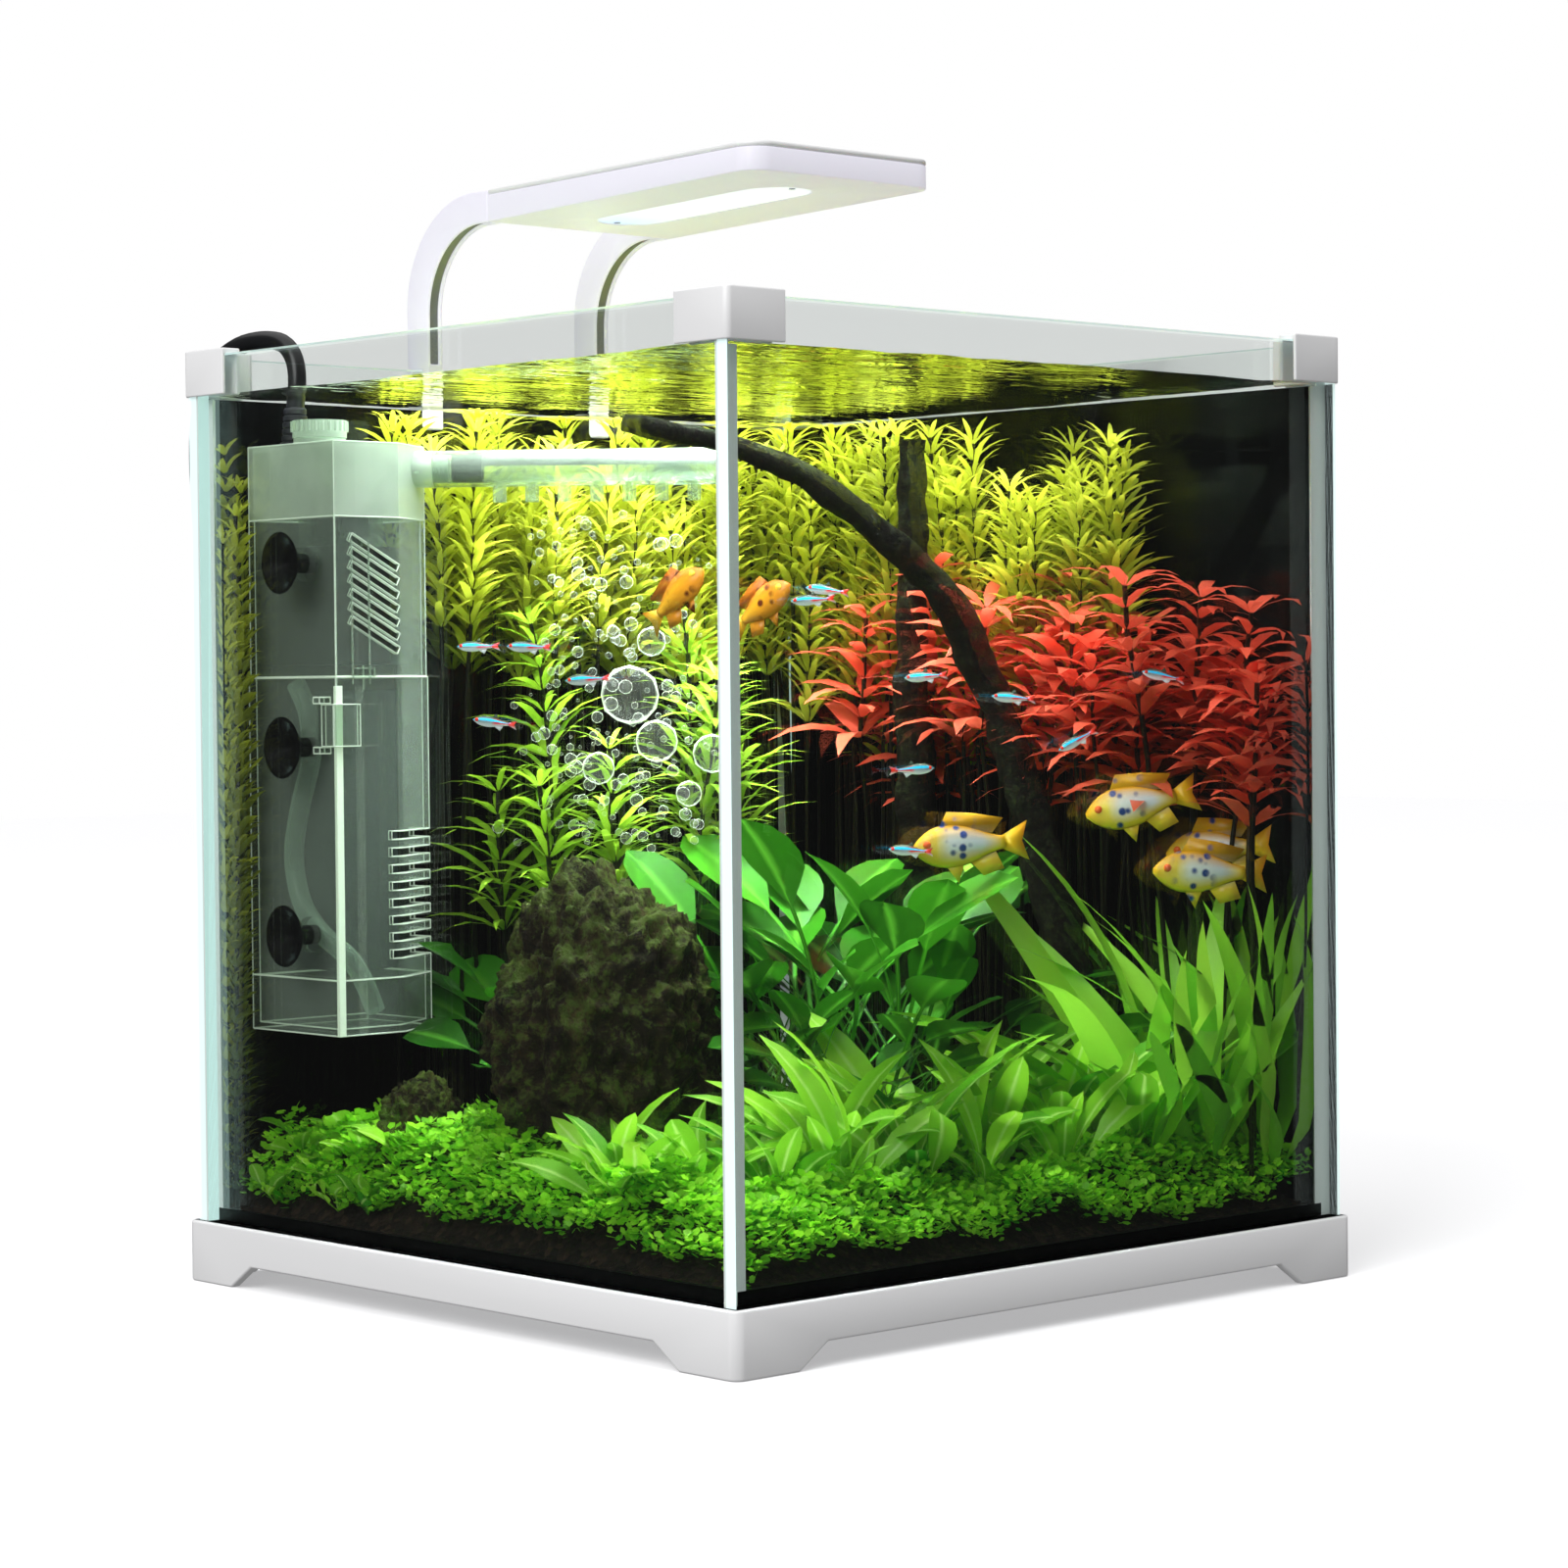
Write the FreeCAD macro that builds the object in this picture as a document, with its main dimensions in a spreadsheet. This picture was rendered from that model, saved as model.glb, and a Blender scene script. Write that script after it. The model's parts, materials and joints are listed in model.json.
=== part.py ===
import FreeCAD, Part
import Sketcher
import math
import os
import re
from FreeCAD import Placement, Rotation, Vector

# Desktop aquarium: a frameless glass cube on a white plastic base, with a lamp on two
# curved arms that straddle the back rim and a corner filter held by suction cups.
# Frame: X to the right along the front pane, Y towards the back, Z up.
# The origin is on the floor below the middle of the tank. All sizes are millimetres.

doc = FreeCAD.newDocument("AquariumOnStand")

SIZES = {
    # base tray
    "baseSide": 254.0, "baseTop": 18.7, "baseCorner": 3.5, "baseWall": 3.5,
    "skirtRise": 7.0, "footFloorEnd": 104.0, "footTopEnd": 93.5, "deckBottom": 11.0,
    "recessFloor": 14.0, "recessHalf": 124.7, "matThick": 2.0,
    # glass cube
    "glassHalf": 124.3, "glassThick": 4.0, "glassTop": 285.0, "seamGap": 0.8,
    "beadLeg": 3.0, "beadTop": 22.5, "beadEnd": 272.0,
    "filmThick": 0.2, "filmTop": 269.0,
    # corner clips
    "clipHalf": 125.5, "clipLeg": 21.2, "clipTop": 286.8, "clipBottom": 272.7,
    "clipInnerWall": 1.4, "clipCorner": 2.0,
    # planted bed and scape
    "soilHalf": 119.7, "soilFront": 29.0, "soilBack": 46.0, "bedGap": 0.4,
    "woodFoot": 20.3, "branchRadius": 9.0, "trunkRadius": 7.0,
    # lamp head
    "headWidth": 76.0, "headFront": -40.0, "headBack": 84.5, "headCorner": 8.0,
    "headLowFront": 333.2, "headLowBack": 329.5, "headTopFront": 342.1, "headTopBack": 339.8,
    "headWall": 2.0, "coverThick": 1.8,
    "windowWidth": 24.0, "windowFront": -19.0, "windowBack": 69.0, "lensThick": 2.0,
    "screwRadius": 1.0, "screwHole": 1.1,
    "boardGap": 3.4, "boardThick": 1.6, "boardHalf": 18.0, "chipSide": 3.0, "chipThick": 0.9,
    # lamp arms
    "armWidth": 6.0, "armDepth": 11.1, "armFoot": 266.0, "bendOuter": 34.6, "bendInner": 26.6,
    "bendOuterUp": 305.0, "bendInnerUp": 302.8, "slotFront": 119.2, "slotBack": 124.8,
    "slotTop": 285.3, "channelWide": 3.6, "channelDeep": 2.2, "stripThick": 1.2,
    "channelEnd": 287.0, "padThick": 0.8,
    # filter housing
    "filterLeft": -108.0, "filterWide": 43.3, "filterFront": 72.0, "filterDeep": 44.4,
    "chamferWide": 19.0, "chamferDeep": 12.0, "filterWall": 1.2,
    "filterBottom": 77.5, "floorTop": 94.2, "canisterTop": 186.1, "headSeam": 234.8,
    "filterTop": 257.5, "canisterProud": 0.4,
    # pump
    "pumpAxisX": -88.0, "pumpAxisY": 96.0, "motorLow": 190.0, "motorHigh": 226.0,
    "wellRadius": 6.0, "wellFloor": 196.0, "shaftRadius": 1.25, "shaftPlay": 0.05,
    "chamberRadius": 13.0, "chamberWall": 1.5, "chamberLow": 226.5, "chamberHigh": 244.0,
    "rotorRadius": 5.3, "bladeReach": 9.5, "bladeHigh": 9.0,
    # filter openings
    "grilleX": -93.6, "grilleZ": 223.0, "grillePitch": 4.2, "grilleLong": 20.0, "grilleWide": 2.4,
    "intakeLow": 100.0, "intakePitch": 5.2, "intakeHigh": 2.6, "intakeLeft": -88.0,
    "intakeBack": 92.0,
    # air knob and cord gland
    "knobX": -97.0, "knobY": 94.0, "knobRadius": 8.9, "knobLow": 259.7, "knobTop": 265.0,
    "collarRadius": 8.0, "spindleRadius": 2.5, "spindleLow": 252.0, "knobRib": 0.6,
    "glandX": -95.0, "glandY": 109.5, "glandTop": 270.0, "glandFoot": 4.8, "glandTip": 3.5,
    # outlet and spray bar, along a level diagonal axis
    "outletX": -66.3, "outletY": 78.0, "outletUp": 250.4, "barRadius": 5.7, "barBore": 4.4,
    "barStart": 1.0, "barLong": 89.0, "capThick": 2.0, "jetFirst": 21.2, "jetPitch": 10.05,
    "jetRadius": 2.1, "jetBore": 1.1, "jetLong": 4.8,
    # suction cups
    "cupRadius": 9.35, "cupGap": 0.3, "cupDish": 5.5, "cupStud": 3.0, "cupRim": 1.2,
    "cupY": 83.5, "cupUpper": 220.7, "cupMiddle": 165.0, "cupLower": 108.0,
    "holderRadius": 5.5, "holderLong": 3.0,
    # canister fittings
    "spongeInset": 8.4, "railWide": 2.4, "railThick": 1.2, "railTop": 183.5,
    "latchLow": 165.3, "latchHigh": 177.9, "latchThick": 1.5, "pinRadius": 0.8, "pinPlay": 0.06,
    "pinX": -110.85, "pinY": 76.0, "hoseRadius": 3.1, "hosePlay": 0.3,
    # mains cord, coil and plug
    "cordRadius": 2.9, "coilX": -45.0, "coilY": 172.0, "coilMean": 32.0, "coilLift": 1.0,
    "tieWide": 8.0, "plugX": 22.0, "plugY": 152.0, "plugWide": 35.3, "plugThick": 13.7,
    "plugLong": 24.0, "plugNeck": 22.0, "pinLong": 19.0, "pinSpacing": 19.0, "plugPin": 2.0,
}

# spans that reach past everything, for cutting tools
SIZES.update({"clearAbove": 400.0, "headBelow": 300.0, "headSpan": 60.0})

sheet = doc.addObject("Spreadsheet::Sheet", "Sizes")
for row, (word, number) in enumerate(SIZES.items(), start=1):
    sheet.set(f"A{row}", word)
    sheet.set(f"B{row}", str(number))
    sheet.setAlias(f"B{row}", word)
doc.recompute()


def size(word):
    """The number in the sheet's cell with this alias."""
    return float(sheet.get(word))


def formula(text):
    """An expression in which each alias is read from the sheet."""
    def swap(found):
        word = found.group(0)
        return f"Sizes.{word}" if word in SIZES else word
    return re.sub(r"[A-Za-z]\w*", swap, str(text))


def bind(thing, **formulas):
    for name, text in formulas.items():
        thing.setExpression(name, formula(text))


def put(thing, place):
    """Bind an object's position to three formulas."""
    for axis, text in zip("xyz", place):
        thing.setExpression(f"Placement.Base.{axis}", formula(text))


TO_X = Rotation(Vector(1, 1, 1), 120)      # turns local Z to X, X to Y and Y to Z
TO_Y = Rotation(Vector(1, 1, 1), -120)     # turns local Z to Y, X to Z and Y to X
UPRIGHT = Rotation()
count = 0


def unique(stem):
    global count
    count += 1
    return f"{stem}{count}"


def block(low, high, name=None):
    """A box from one corner to the opposite one."""
    box = doc.addObject("Part::Box", name or unique("Block"))
    spans = [f"({b}) - ({a})" for a, b in zip(low, high)]
    bind(box, Length=spans[0], Width=spans[1], Height=spans[2])
    put(box, low)
    return box


def rod(radius, place, long, turn=UPRIGHT, angle=360, name=None):
    bar = doc.addObject("Part::Cylinder", name or unique("Rod"))
    bar.Placement = Placement(Vector(), turn)
    bar.Angle = angle
    bind(bar, Radius=radius, Height=long)
    put(bar, place)
    return bar


def cone(start, end, place, long, turn=UPRIGHT, name=None):
    taper = doc.addObject("Part::Cone", name or unique("Cone"))
    taper.Placement = Placement(Vector(), turn)
    bind(taper, Radius1=start, Radius2=end, Height=long)
    put(taper, place)
    return taper


def fuse(parts, name=None):
    whole = doc.addObject("Part::MultiFuse", name or unique("Fuse"))
    whole.Shapes = list(parts)
    return whole


def cut(base, tools, name=None):
    result = doc.addObject("Part::Cut", name or unique("Cut"))
    result.Base = base
    result.Tool = tools[0] if len(tools) == 1 else fuse(tools)
    return result


def common(first, second, name=None):
    result = doc.addObject("Part::Common", name or unique("Common"))
    result.Base = first
    result.Tool = second
    return result


def prism(corners, plane, start, long, name=None, rounding=None):
    """A padded sketch polygon. Its corners are pairs of formulas in the plane's own axes.

    rounding is a radius formula and a test that picks the edges to round.
    """
    body = doc.addObject("PartDesign::Body", name or unique("Body"))
    sketch = body.newObject("Sketcher::SketchObject", unique("Sketch"))
    origin_plane = [f for f in body.Origin.OriginFeatures if f.Role == plane][0]
    sketch.AttachmentSupport = [(origin_plane, "")]
    sketch.MapMode = "FlatFace"
    points = [Vector(evaluate(a), evaluate(b), 0) for a, b in corners]
    for i, point in enumerate(points):
        sketch.addGeometry(Part.LineSegment(point, points[(i + 1) % len(points)]), False)
    for i in range(len(points)):
        sketch.addConstraint(Sketcher.Constraint("Coincident", i, 2, (i + 1) % len(points), 1))
    for i, pair in enumerate(corners):
        for kind, letter, text in (("DistanceX", "x", pair[0]), ("DistanceY", "y", pair[1])):
            row = sketch.addConstraint(Sketcher.Constraint(kind, -1, 1, i, 1, evaluate(text)))
            sketch.renameConstraint(row, f"{letter}{i}")
            sketch.setExpression(f"Constraints.{letter}{i}", formula(text))
    pad = body.newObject("PartDesign::Pad", unique("Pad"))
    pad.Profile = sketch
    bind(pad, Length=long)
    axis = {"XY_Plane": "z", "YZ_Plane": "x", "XZ_Plane": "y"}[plane]
    body.setExpression(f"Placement.Base.{axis}", formula(start))
    if rounding:
        doc.recompute()
        names = [f"Edge{i + 1}" for i, edge in enumerate(pad.Shape.Edges) if rounding[1](edge)]
        fillet = body.newObject("PartDesign::Fillet", unique("Rounding"))
        fillet.Base = (pad, names)
        bind(fillet, Radius=rounding[0])
    return body


def evaluate(text):
    """The value of a formula, for a sketch's first drawing."""
    return float(sheet.evalExpression(formula(text)))


def side_prism(corners, low, high, name=None, rounding=None):
    """A profile of (y, z) corners, drawn out along X."""
    return prism(corners, "YZ_Plane", low, f"({high}) - ({low})", name, rounding)


def square(half):
    return [(f"-({half})", f"-({half})"), (half, f"-({half})"), (half, half), (f"-({half})", half)]


def is_upright(edge):
    ends = edge.Vertexes
    if len(ends) != 2:
        return False
    run = ends[1].Point.sub(ends[0].Point)
    return abs(run.z) > 0.9 * run.Length


# ---------------------------------------------------------------- base and glass

def make_base():
    outer = prism(square("baseSide/2"), "XY_Plane", 0, "baseTop", rounding=("baseCorner", is_upright))
    recess = block(["-recessHalf", "-recessHalf", "recessFloor"],
                   ["recessHalf", "recessHalf", "baseTop + 1"])
    hollow = "baseSide/2 - baseWall"
    cavity = block([f"-({hollow})", f"-({hollow})", "-1"], [hollow, hollow, "deckBottom"])
    gap = [("-footFloorEnd", "-0.01"), ("footFloorEnd", "-0.01"), ("footTopEnd", "skirtRise"),
           ("-footTopEnd", "skirtRise")]
    across = side_prism(gap, "-baseSide", "baseSide")
    along = prism(gap, "XZ_Plane", "baseSide", "2*baseSide")
    cut(outer, [recess, cavity, across, along], "base_tray")
    block(["-glassHalf", "-glassHalf", "recessFloor"],
          ["glassHalf", "glassHalf", "recessFloor + matThick"], "levelling_mat")


GLASS_LOW = "recessFloor + matThick"
GLASS_IN = "glassHalf - glassThick"
SEAM_IN = "glassHalf - glassThick - seamGap"


def make_glass():
    block([f"-({SEAM_IN})", f"-({SEAM_IN})", GLASS_LOW],
          [SEAM_IN, SEAM_IN, f"{GLASS_LOW} + glassThick"], "glass_bottom")
    block(["-glassHalf", "-glassHalf", GLASS_LOW], ["glassHalf", f"-({GLASS_IN})", "glassTop"],
          "glass_front")
    block(["-glassHalf", GLASS_IN, GLASS_LOW], ["glassHalf", "glassHalf", "glassTop"], "glass_back")
    block(["-glassHalf", f"-({SEAM_IN})", GLASS_LOW], [f"-({GLASS_IN})", SEAM_IN, "glassTop"],
          "glass_left")
    block([GLASS_IN, f"-({SEAM_IN})", GLASS_LOW], ["glassHalf", SEAM_IN, "glassTop"], "glass_right")


def make_silicone():
    seams = []
    for x in (-1, 1):
        for y in (-1, 1):
            inner = f"{x}*({GLASS_IN})"
            wall = f"{y}*({GLASS_IN})"
            low_x = "-glassHalf" if x < 0 else GLASS_IN
            low_y = f"-({GLASS_IN})" if y < 0 else SEAM_IN
            strip = block([low_x, low_y, GLASS_LOW],
                          [f"({low_x}) + glassThick", f"({low_y}) + seamGap", "glassTop"])
            bead = prism([(inner, wall), (f"{inner} - {x}*beadLeg", wall),
                          (inner, f"{wall} - {y}*beadLeg")], "XY_Plane", "beadTop", "beadEnd - beadTop")
            seams.append(fuse([strip, bead]))
    group = doc.addObject("Part::Compound", "silicone_vertical_seams")
    group.Links = seams
    floor = f"{GLASS_LOW} + glassThick"
    outer = block([f"-({GLASS_IN})", f"-({GLASS_IN})", GLASS_LOW], [GLASS_IN, GLASS_IN, "beadTop"])
    pane = block([f"-({SEAM_IN})", f"-({SEAM_IN})", f"{GLASS_LOW} - 1"], [SEAM_IN, SEAM_IN, floor])
    inner = f"{GLASS_IN} - beadTop + {floor}"
    space = block([f"-({inner})", f"-({inner})", f"({floor}) - 1"], [inner, inner, "beadTop + 1"])
    cut(outer, [pane, space], "silicone_bottom_seam")


def make_films():
    """Dark background foils on the outside of the back and right panes."""
    block(["-glassHalf + 1", "glassHalf", "recessFloor + matThick"],
          ["glassHalf - 1", "glassHalf + filmThick", "filmTop"], "background_film_back")
    block(["glassHalf", "-glassHalf + 1", "recessFloor + matThick"],
          ["glassHalf + filmThick", "glassHalf - 1", "filmTop"], "background_film_right")


def make_clips():
    """L-shaped caps with a U section, one over each corner of the rim."""
    for x, side in ((-1, "left"), (1, "right")):
        for y, end in ((-1, "front"), (1, "back")):
            far = "clipHalf - clipLeg"
            def span(sign, near, out):
                return (f"-({out})", f"-({near})") if sign < 0 else (near, out)

            def column(near, out, low, high):
                (x0, x1), (y0, y1) = span(x, near, out), span(y, near, out)
                return block([x0, y0, low], [x1, y1, high])

            corner = [(f"{x}*({a})", f"{y}*({b})") for a, b in
                      ((far, far), ("clipHalf", far), ("clipHalf", "clipHalf"), (far, "clipHalf"))]

            def outermost(edge):
                middle = edge.CenterOfMass
                return is_upright(edge) and abs(middle.x) > 125 and abs(middle.y) > 125

            cap = prism(corner, "XY_Plane", "clipBottom", "clipTop - clipBottom",
                        rounding=("clipCorner", outermost))
            inside = column("0", f"{GLASS_IN} - clipInnerWall", "0", "clearAbove")
            (x0, x1), (y0, y1) = span(x, GLASS_IN, "glassHalf"), span(y, "0", "glassHalf")
            slot_x = block([x0, y0, "0"], [x1, y1, "glassTop"])
            (x0, x1), (y0, y1) = span(x, "0", "glassHalf"), span(y, GLASS_IN, "glassHalf")
            slot_y = block([x0, y0, "0"], [x1, y1, "glassTop"])
            cut(cap, [inside, slot_x, slot_y], f"corner_clip_{end}_{side}")


# ---------------------------------------------------------------- planted bed

BRANCH = [(72, -50, 20.3, 1.1), (72, -50, 56, 1.0), (78, -54, 90, 0.85), (80, -40, 134, 0.75),
          (74, -26, 180, 0.7), (50, -22, 216, 0.62), (4, -6, 250, 0.5), (-44, 12, 262, 0.35)]
TRUNK = [(84, 22, 20.3, 1.3), (84, 22, 60, 1.1), (90, 24, 116, 1.0), (85, 20, 190, 0.85),
         (88, 22, 262, 0.7)]
ROCKS = {"lava_rock_large": ((-66, -2, 78), (38, 32, 52)),
         "lava_rock_small": ((-92, 54, 46), (17, 12, 21))}


def limb(points, radius, name):
    """Root wood: tapered lengths with a ball at each bend. The points carry a share of radius."""
    parts = []
    for a, b in zip(points, points[1:]):
        start, end = Vector(*a[:3]), Vector(*b[:3])
        length = end.sub(start).Length
        turn = Rotation(Vector(0, 0, 1), end.sub(start))
        parts.append(cone(f"{radius}*{a[3]}", f"{radius}*{b[3]}", a[:3], length, turn))
    for x, y, z, share in points[1:]:
        ball = doc.addObject("Part::Sphere", unique("Ball"))
        bind(ball, Radius=f"{radius}*{share}")
        put(ball, (x, y, z))
        parts.append(ball)
    return fuse(parts, name)


def boulder(centre, semi, grow, name=None):
    stone = doc.addObject("Part::Ellipsoid", name or unique("Stone"))
    stone.Radius1, stone.Radius2, stone.Radius3 = (
        semi[2] + grow, semi[0] + grow, semi[1] + grow)
    put(stone, centre)
    return stone


def make_bed():
    low, inset = "recessFloor + matThick + glassThick", "glassHalf - glassThick - beadLeg"
    slope = side_prism([("-soilHalf", "beadTop + bedGap"), ("soilHalf", "beadTop + bedGap"),
                        ("soilHalf", "soilBack"), ("-soilHalf", "soilFront")], "-soilHalf", "soilHalf")
    under = block([f"-({inset})", f"-({inset})", low], [inset, inset, "beadTop + bedGap"])
    corners = []
    for x in (-1, 1):
        for y in (-1, 1):
            edge_x, edge_y = f"{x}*(soilHalf + 1)", f"{y}*(soilHalf + 1)"
            corners.append(prism([(edge_x, edge_y), (f"{edge_x} - {x}*2*beadLeg", edge_y),
                                  (edge_x, f"{edge_y} - {y}*2*beadLeg")], "XY_Plane", 0, 100))
    holes = [boulder(centre, semi, size("bedGap")) for centre, semi in ROCKS.values()]
    for points, radius in ((BRANCH, "branchRadius"), (TRUNK, "trunkRadius")):
        widest = f"{radius}*{points[0][3]} + 2*bedGap"
        holes.append(rod(widest, (points[0][0], points[0][1], 0), 100))
    cut(fuse([slope, under]), corners + holes, "soil_bed")
    for name, (centre, semi) in ROCKS.items():
        boulder(centre, semi, 0, name)
    limb(BRANCH, "branchRadius", "driftwood_branch")
    limb(TRUNK, "trunkRadius", "driftwood_trunk")


# ---------------------------------------------------------------- lamp

def head_line(low_gap, high_gap, front="headFront", back="headBack"):
    """Corners of a slab that follows the underside of the head, low_gap to high_gap above it."""
    fall = "(headLowFront - headLowBack)/(headBack - headFront)"

    def height(y, gap):
        return f"headLowFront - ({y} - headFront)*{fall} + {gap}"
    return [(front, height(front, low_gap)), (back, height(back, low_gap)),
            (back, height(back, high_gap)), (front, height(front, high_gap))]


def stadium(width, front, back, low, high):
    half = f"({width})/2"
    return fuse([
        block([f"-({half})", f"({front}) + {half}", low], [half, f"({back}) - {half}", high]),
        rod(half, ["0", f"({front}) + {half}", low], f"({high}) - ({low})"),
        rod(half, ["0", f"({back}) - {half}", low], f"({high}) - ({low})")])


def make_head():
    def front_upright(edge):
        return is_upright(edge) and edge.CenterOfMass.y < 0
    whole = side_prism([("headFront", "headLowFront"), ("headBack", "headLowBack"),
                        ("headBack", "headTopBack"), ("headFront", "headTopFront")],
                       "-headWidth/2", "headWidth/2", rounding=("headCorner", front_upright))
    lid = side_prism([("headFront - 1", "headTopFront - coverThick"),
                      ("headBack + 1", "headTopBack - coverThick"),
                      ("headBack + 1", "clearAbove"), ("headFront - 1", "clearAbove")],
                     "-headWidth", "headWidth")
    hollow = side_prism(head_line("headWall", "20", "headFront + headCorner", "headBack - headWall"),
                        "-headWidth/2 + headWall", "headWidth/2 - headWall")
    window = stadium("windowWidth", "windowFront", "windowBack", "headBelow", "headBelow + headSpan")
    cut(whole, [lid, hollow, window], "lamp_housing")
    common(whole, lid, "lamp_top_cover")
    pane = stadium("windowWidth - 0.2", "windowFront + 0.1", "windowBack - 0.1", "headBelow",
                   "headBelow + headSpan")
    screws = [("0", f"{end}") for end in ("windowFront + 3", "windowBack - 3")]
    lens_slab = side_prism(head_line("0.3", "lensThick"), "-headWidth/2", "headWidth/2")
    holes = [rod("screwHole", [x, y, "headBelow"], "headSpan") for x, y in screws]
    cut(common(pane, lens_slab), holes, "led_lens")
    screw_slab = side_prism(head_line("0.1", "boardGap - 0.1"), "-headWidth/2", "headWidth/2")
    shanks = fuse([rod("screwRadius", [x, y, "headBelow"], "headSpan") for x, y in screws])
    common(shanks, screw_slab, "lens_screws")
    side_prism(head_line("boardGap", "boardGap + boardThick", "windowFront - 8", "windowBack + 8"),
               "-boardHalf", "boardHalf", name="led_board")
    chips = []
    for row in (-1, 1):
        for i in range(10):
            y = f"windowFront + 10 + {i}*(windowBack - windowFront - 20)/9"
            chips.append(block([f"{row}*5 - chipSide/2", f"{y} - chipSide/2", "headBelow"],
                               [f"{row}*5 + chipSide/2", f"{y} + chipSide/2",
                                "headBelow + headSpan"]))
    chip_slab = side_prism(head_line("boardGap - chipThick", "boardGap"), "-headWidth/2", "headWidth/2")
    common(fuse(chips), chip_slab, "led_chips")
    socket = rod("3.4", ["0", "headBack", "headLowBack + 5.2"], "3", TO_Y)
    bore = rod("1.6", ["0", "headBack + 0.6", "headLowBack + 5.2"], "4", TO_Y)
    cut(socket, [bore], "lamp_dc_socket")


BEND_Y = "baseSide/2 - bendOuter"
INNER_Y = "baseSide/2 - armDepth - bendInner"


def inner_bend(grow, low_x, high_x, foot):
    """The space in front of an arm and under its bend, grown into the arm by grow."""
    width = f"({high_x}) - ({low_x})"
    reach = f"bendInner + {grow}"
    return fuse([
        block([low_x, "0", foot], [high_x, f"{INNER_Y} + {reach}", "bendInnerUp"]),
        rod(reach, [low_x, INNER_Y, "bendInnerUp"], width, TO_X, 90),
        block([low_x, "0", "bendInnerUp"], [high_x, INNER_Y, f"bendInnerUp + {reach}"])])


def make_arms():
    strips, pads = [], []
    for side, name in ((-1, "left"), (1, "right")):
        low = "-headWidth/2" if side < 0 else "headWidth/2 - armWidth"
        high = f"({low}) + armWidth"
        full = fuse([
            block([low, "headBack", "armFoot"], [high, "baseSide/2", "bendOuterUp"]),
            rod("bendOuter", [low, BEND_Y, "bendOuterUp"], "armWidth", TO_X, 90),
            block([low, "headBack", "bendOuterUp"], [high, BEND_Y, "bendOuterUp + bendOuter"])])
        under = inner_bend("0", f"{low} - 1", f"{high} + 1", "0")
        slot = block([f"{low} - 1", "slotFront", "0"], [f"{high} + 1", "slotBack", "slotTop"])
        inset = "(armWidth - channelWide)/2"
        channel = inner_bend("channelDeep", f"{low} + {inset}", f"{high} - {inset}", "channelEnd")
        cut(full, [under, slot, channel], f"lamp_arm_{name}")
        within = block([f"{low} + {inset}", "headBack + 6", "channelEnd"],
                       [f"{high} - {inset}", "baseSide/2", "clearAbove"])
        deep = inner_bend("channelDeep", f"{low} + {inset}", f"{high} - {inset}", "channelEnd")
        shallow = inner_bend("channelDeep - stripThick", f"{low}", high, "0")
        strips.append(common(cut(deep, [shallow]), within))
        pads.append(block([f"{low} + 0.5", "slotFront", "armFoot + 1"],
                          [f"{high} - 0.5", "slotFront + padThick", "slotTop - 3"]))
    for label, parts in (("arm_channel_strips", strips), ("arm_rim_pads", pads)):
        group = doc.addObject("Part::Compound", label)
        group.Links = parts


# ---------------------------------------------------------------- filter

def filter_plan(inset):
    """The five-sided plan of the filter: a rectangle whose front right corner is cut off."""
    right = "filterLeft + filterWide"
    back = "filterFront + filterDeep"
    slant = "sqrt(chamferWide*chamferWide + chamferDeep*chamferDeep)"
    return [(f"filterLeft + {inset}", f"filterFront + {inset}"),
            (f"{right} - chamferWide - ({inset})*({slant} - chamferWide)/chamferDeep",
             f"filterFront + {inset}"),
            (f"{right} - ({inset})",
             f"filterFront + chamferDeep + ({inset})*({slant} - chamferDeep)/chamferWide"),
            (f"{right} - ({inset})", f"{back} - ({inset})"),
            (f"filterLeft + {inset}", f"{back} - ({inset})")]


def filter_block(inset, low, high, name=None):
    return prism(filter_plan(inset), "XY_Plane", low, f"({high}) - ({low})", name)


DIAGONAL = Rotation(Vector(0, 0, 1), -45).multiply(TO_X)   # local Z along the spray bar


def along_bar(distance, up="0"):
    """A point on the spray bar's axis, distance beyond the outlet's mouth."""
    share = f"({distance})/sqrt(2)"
    return [f"outletX + {share}", f"outletY - {share}", f"outletUp + {up}"]


def make_pump():
    outer = filter_block("0", "canisterTop + 0.3", "headSeam")
    holder = rod("holderRadius", ["filterLeft - holderLong", "cupY", "cupUpper"], "holderLong", TO_X)
    inner = filter_block("filterWall", "0", "clearAbove")
    stud = rod("cupStud", ["filterLeft - 2*holderLong", "cupY", "cupUpper"], "2*holderLong", TO_X)
    slots = []
    for i in range(7):
        slot = doc.addObject("Part::Box", unique("Slot"))
        slot.Placement = Placement(Vector(), Rotation(Vector(0, 1, 0), 28))
        bind(slot, Length="grilleLong", Width="4", Height="grilleWide")
        put(slot, ["grilleX - grilleLong/2*cos(28)", "filterFront - 2",
                   f"grilleZ - {i}*grillePitch + grilleLong/2*sin(28)"])
        slots.append(slot)
    cut(fuse([outer, holder]), [inner, stud] + slots, "pump_shell")
    head = filter_block("0", "headSeam", "filterTop")
    room = filter_block("filterWall", "0", "filterTop - filterWall")
    bores = [rod("spindleRadius + 0.5", ["knobX", "knobY", "200"], "100"),
             rod("cordRadius", ["glandX", "glandY", "200"], "100"),
             rod("barRadius", along_bar("-20"), "40", DIAGONAL)]
    cut(head, [room] + bores, "filter_head")
    well = rod("wellRadius", ["pumpAxisX", "pumpAxisY", "wellFloor"], "100")
    cut(filter_block("3.5", "motorLow", "motorHigh"), [well], "pump_motor")


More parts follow.
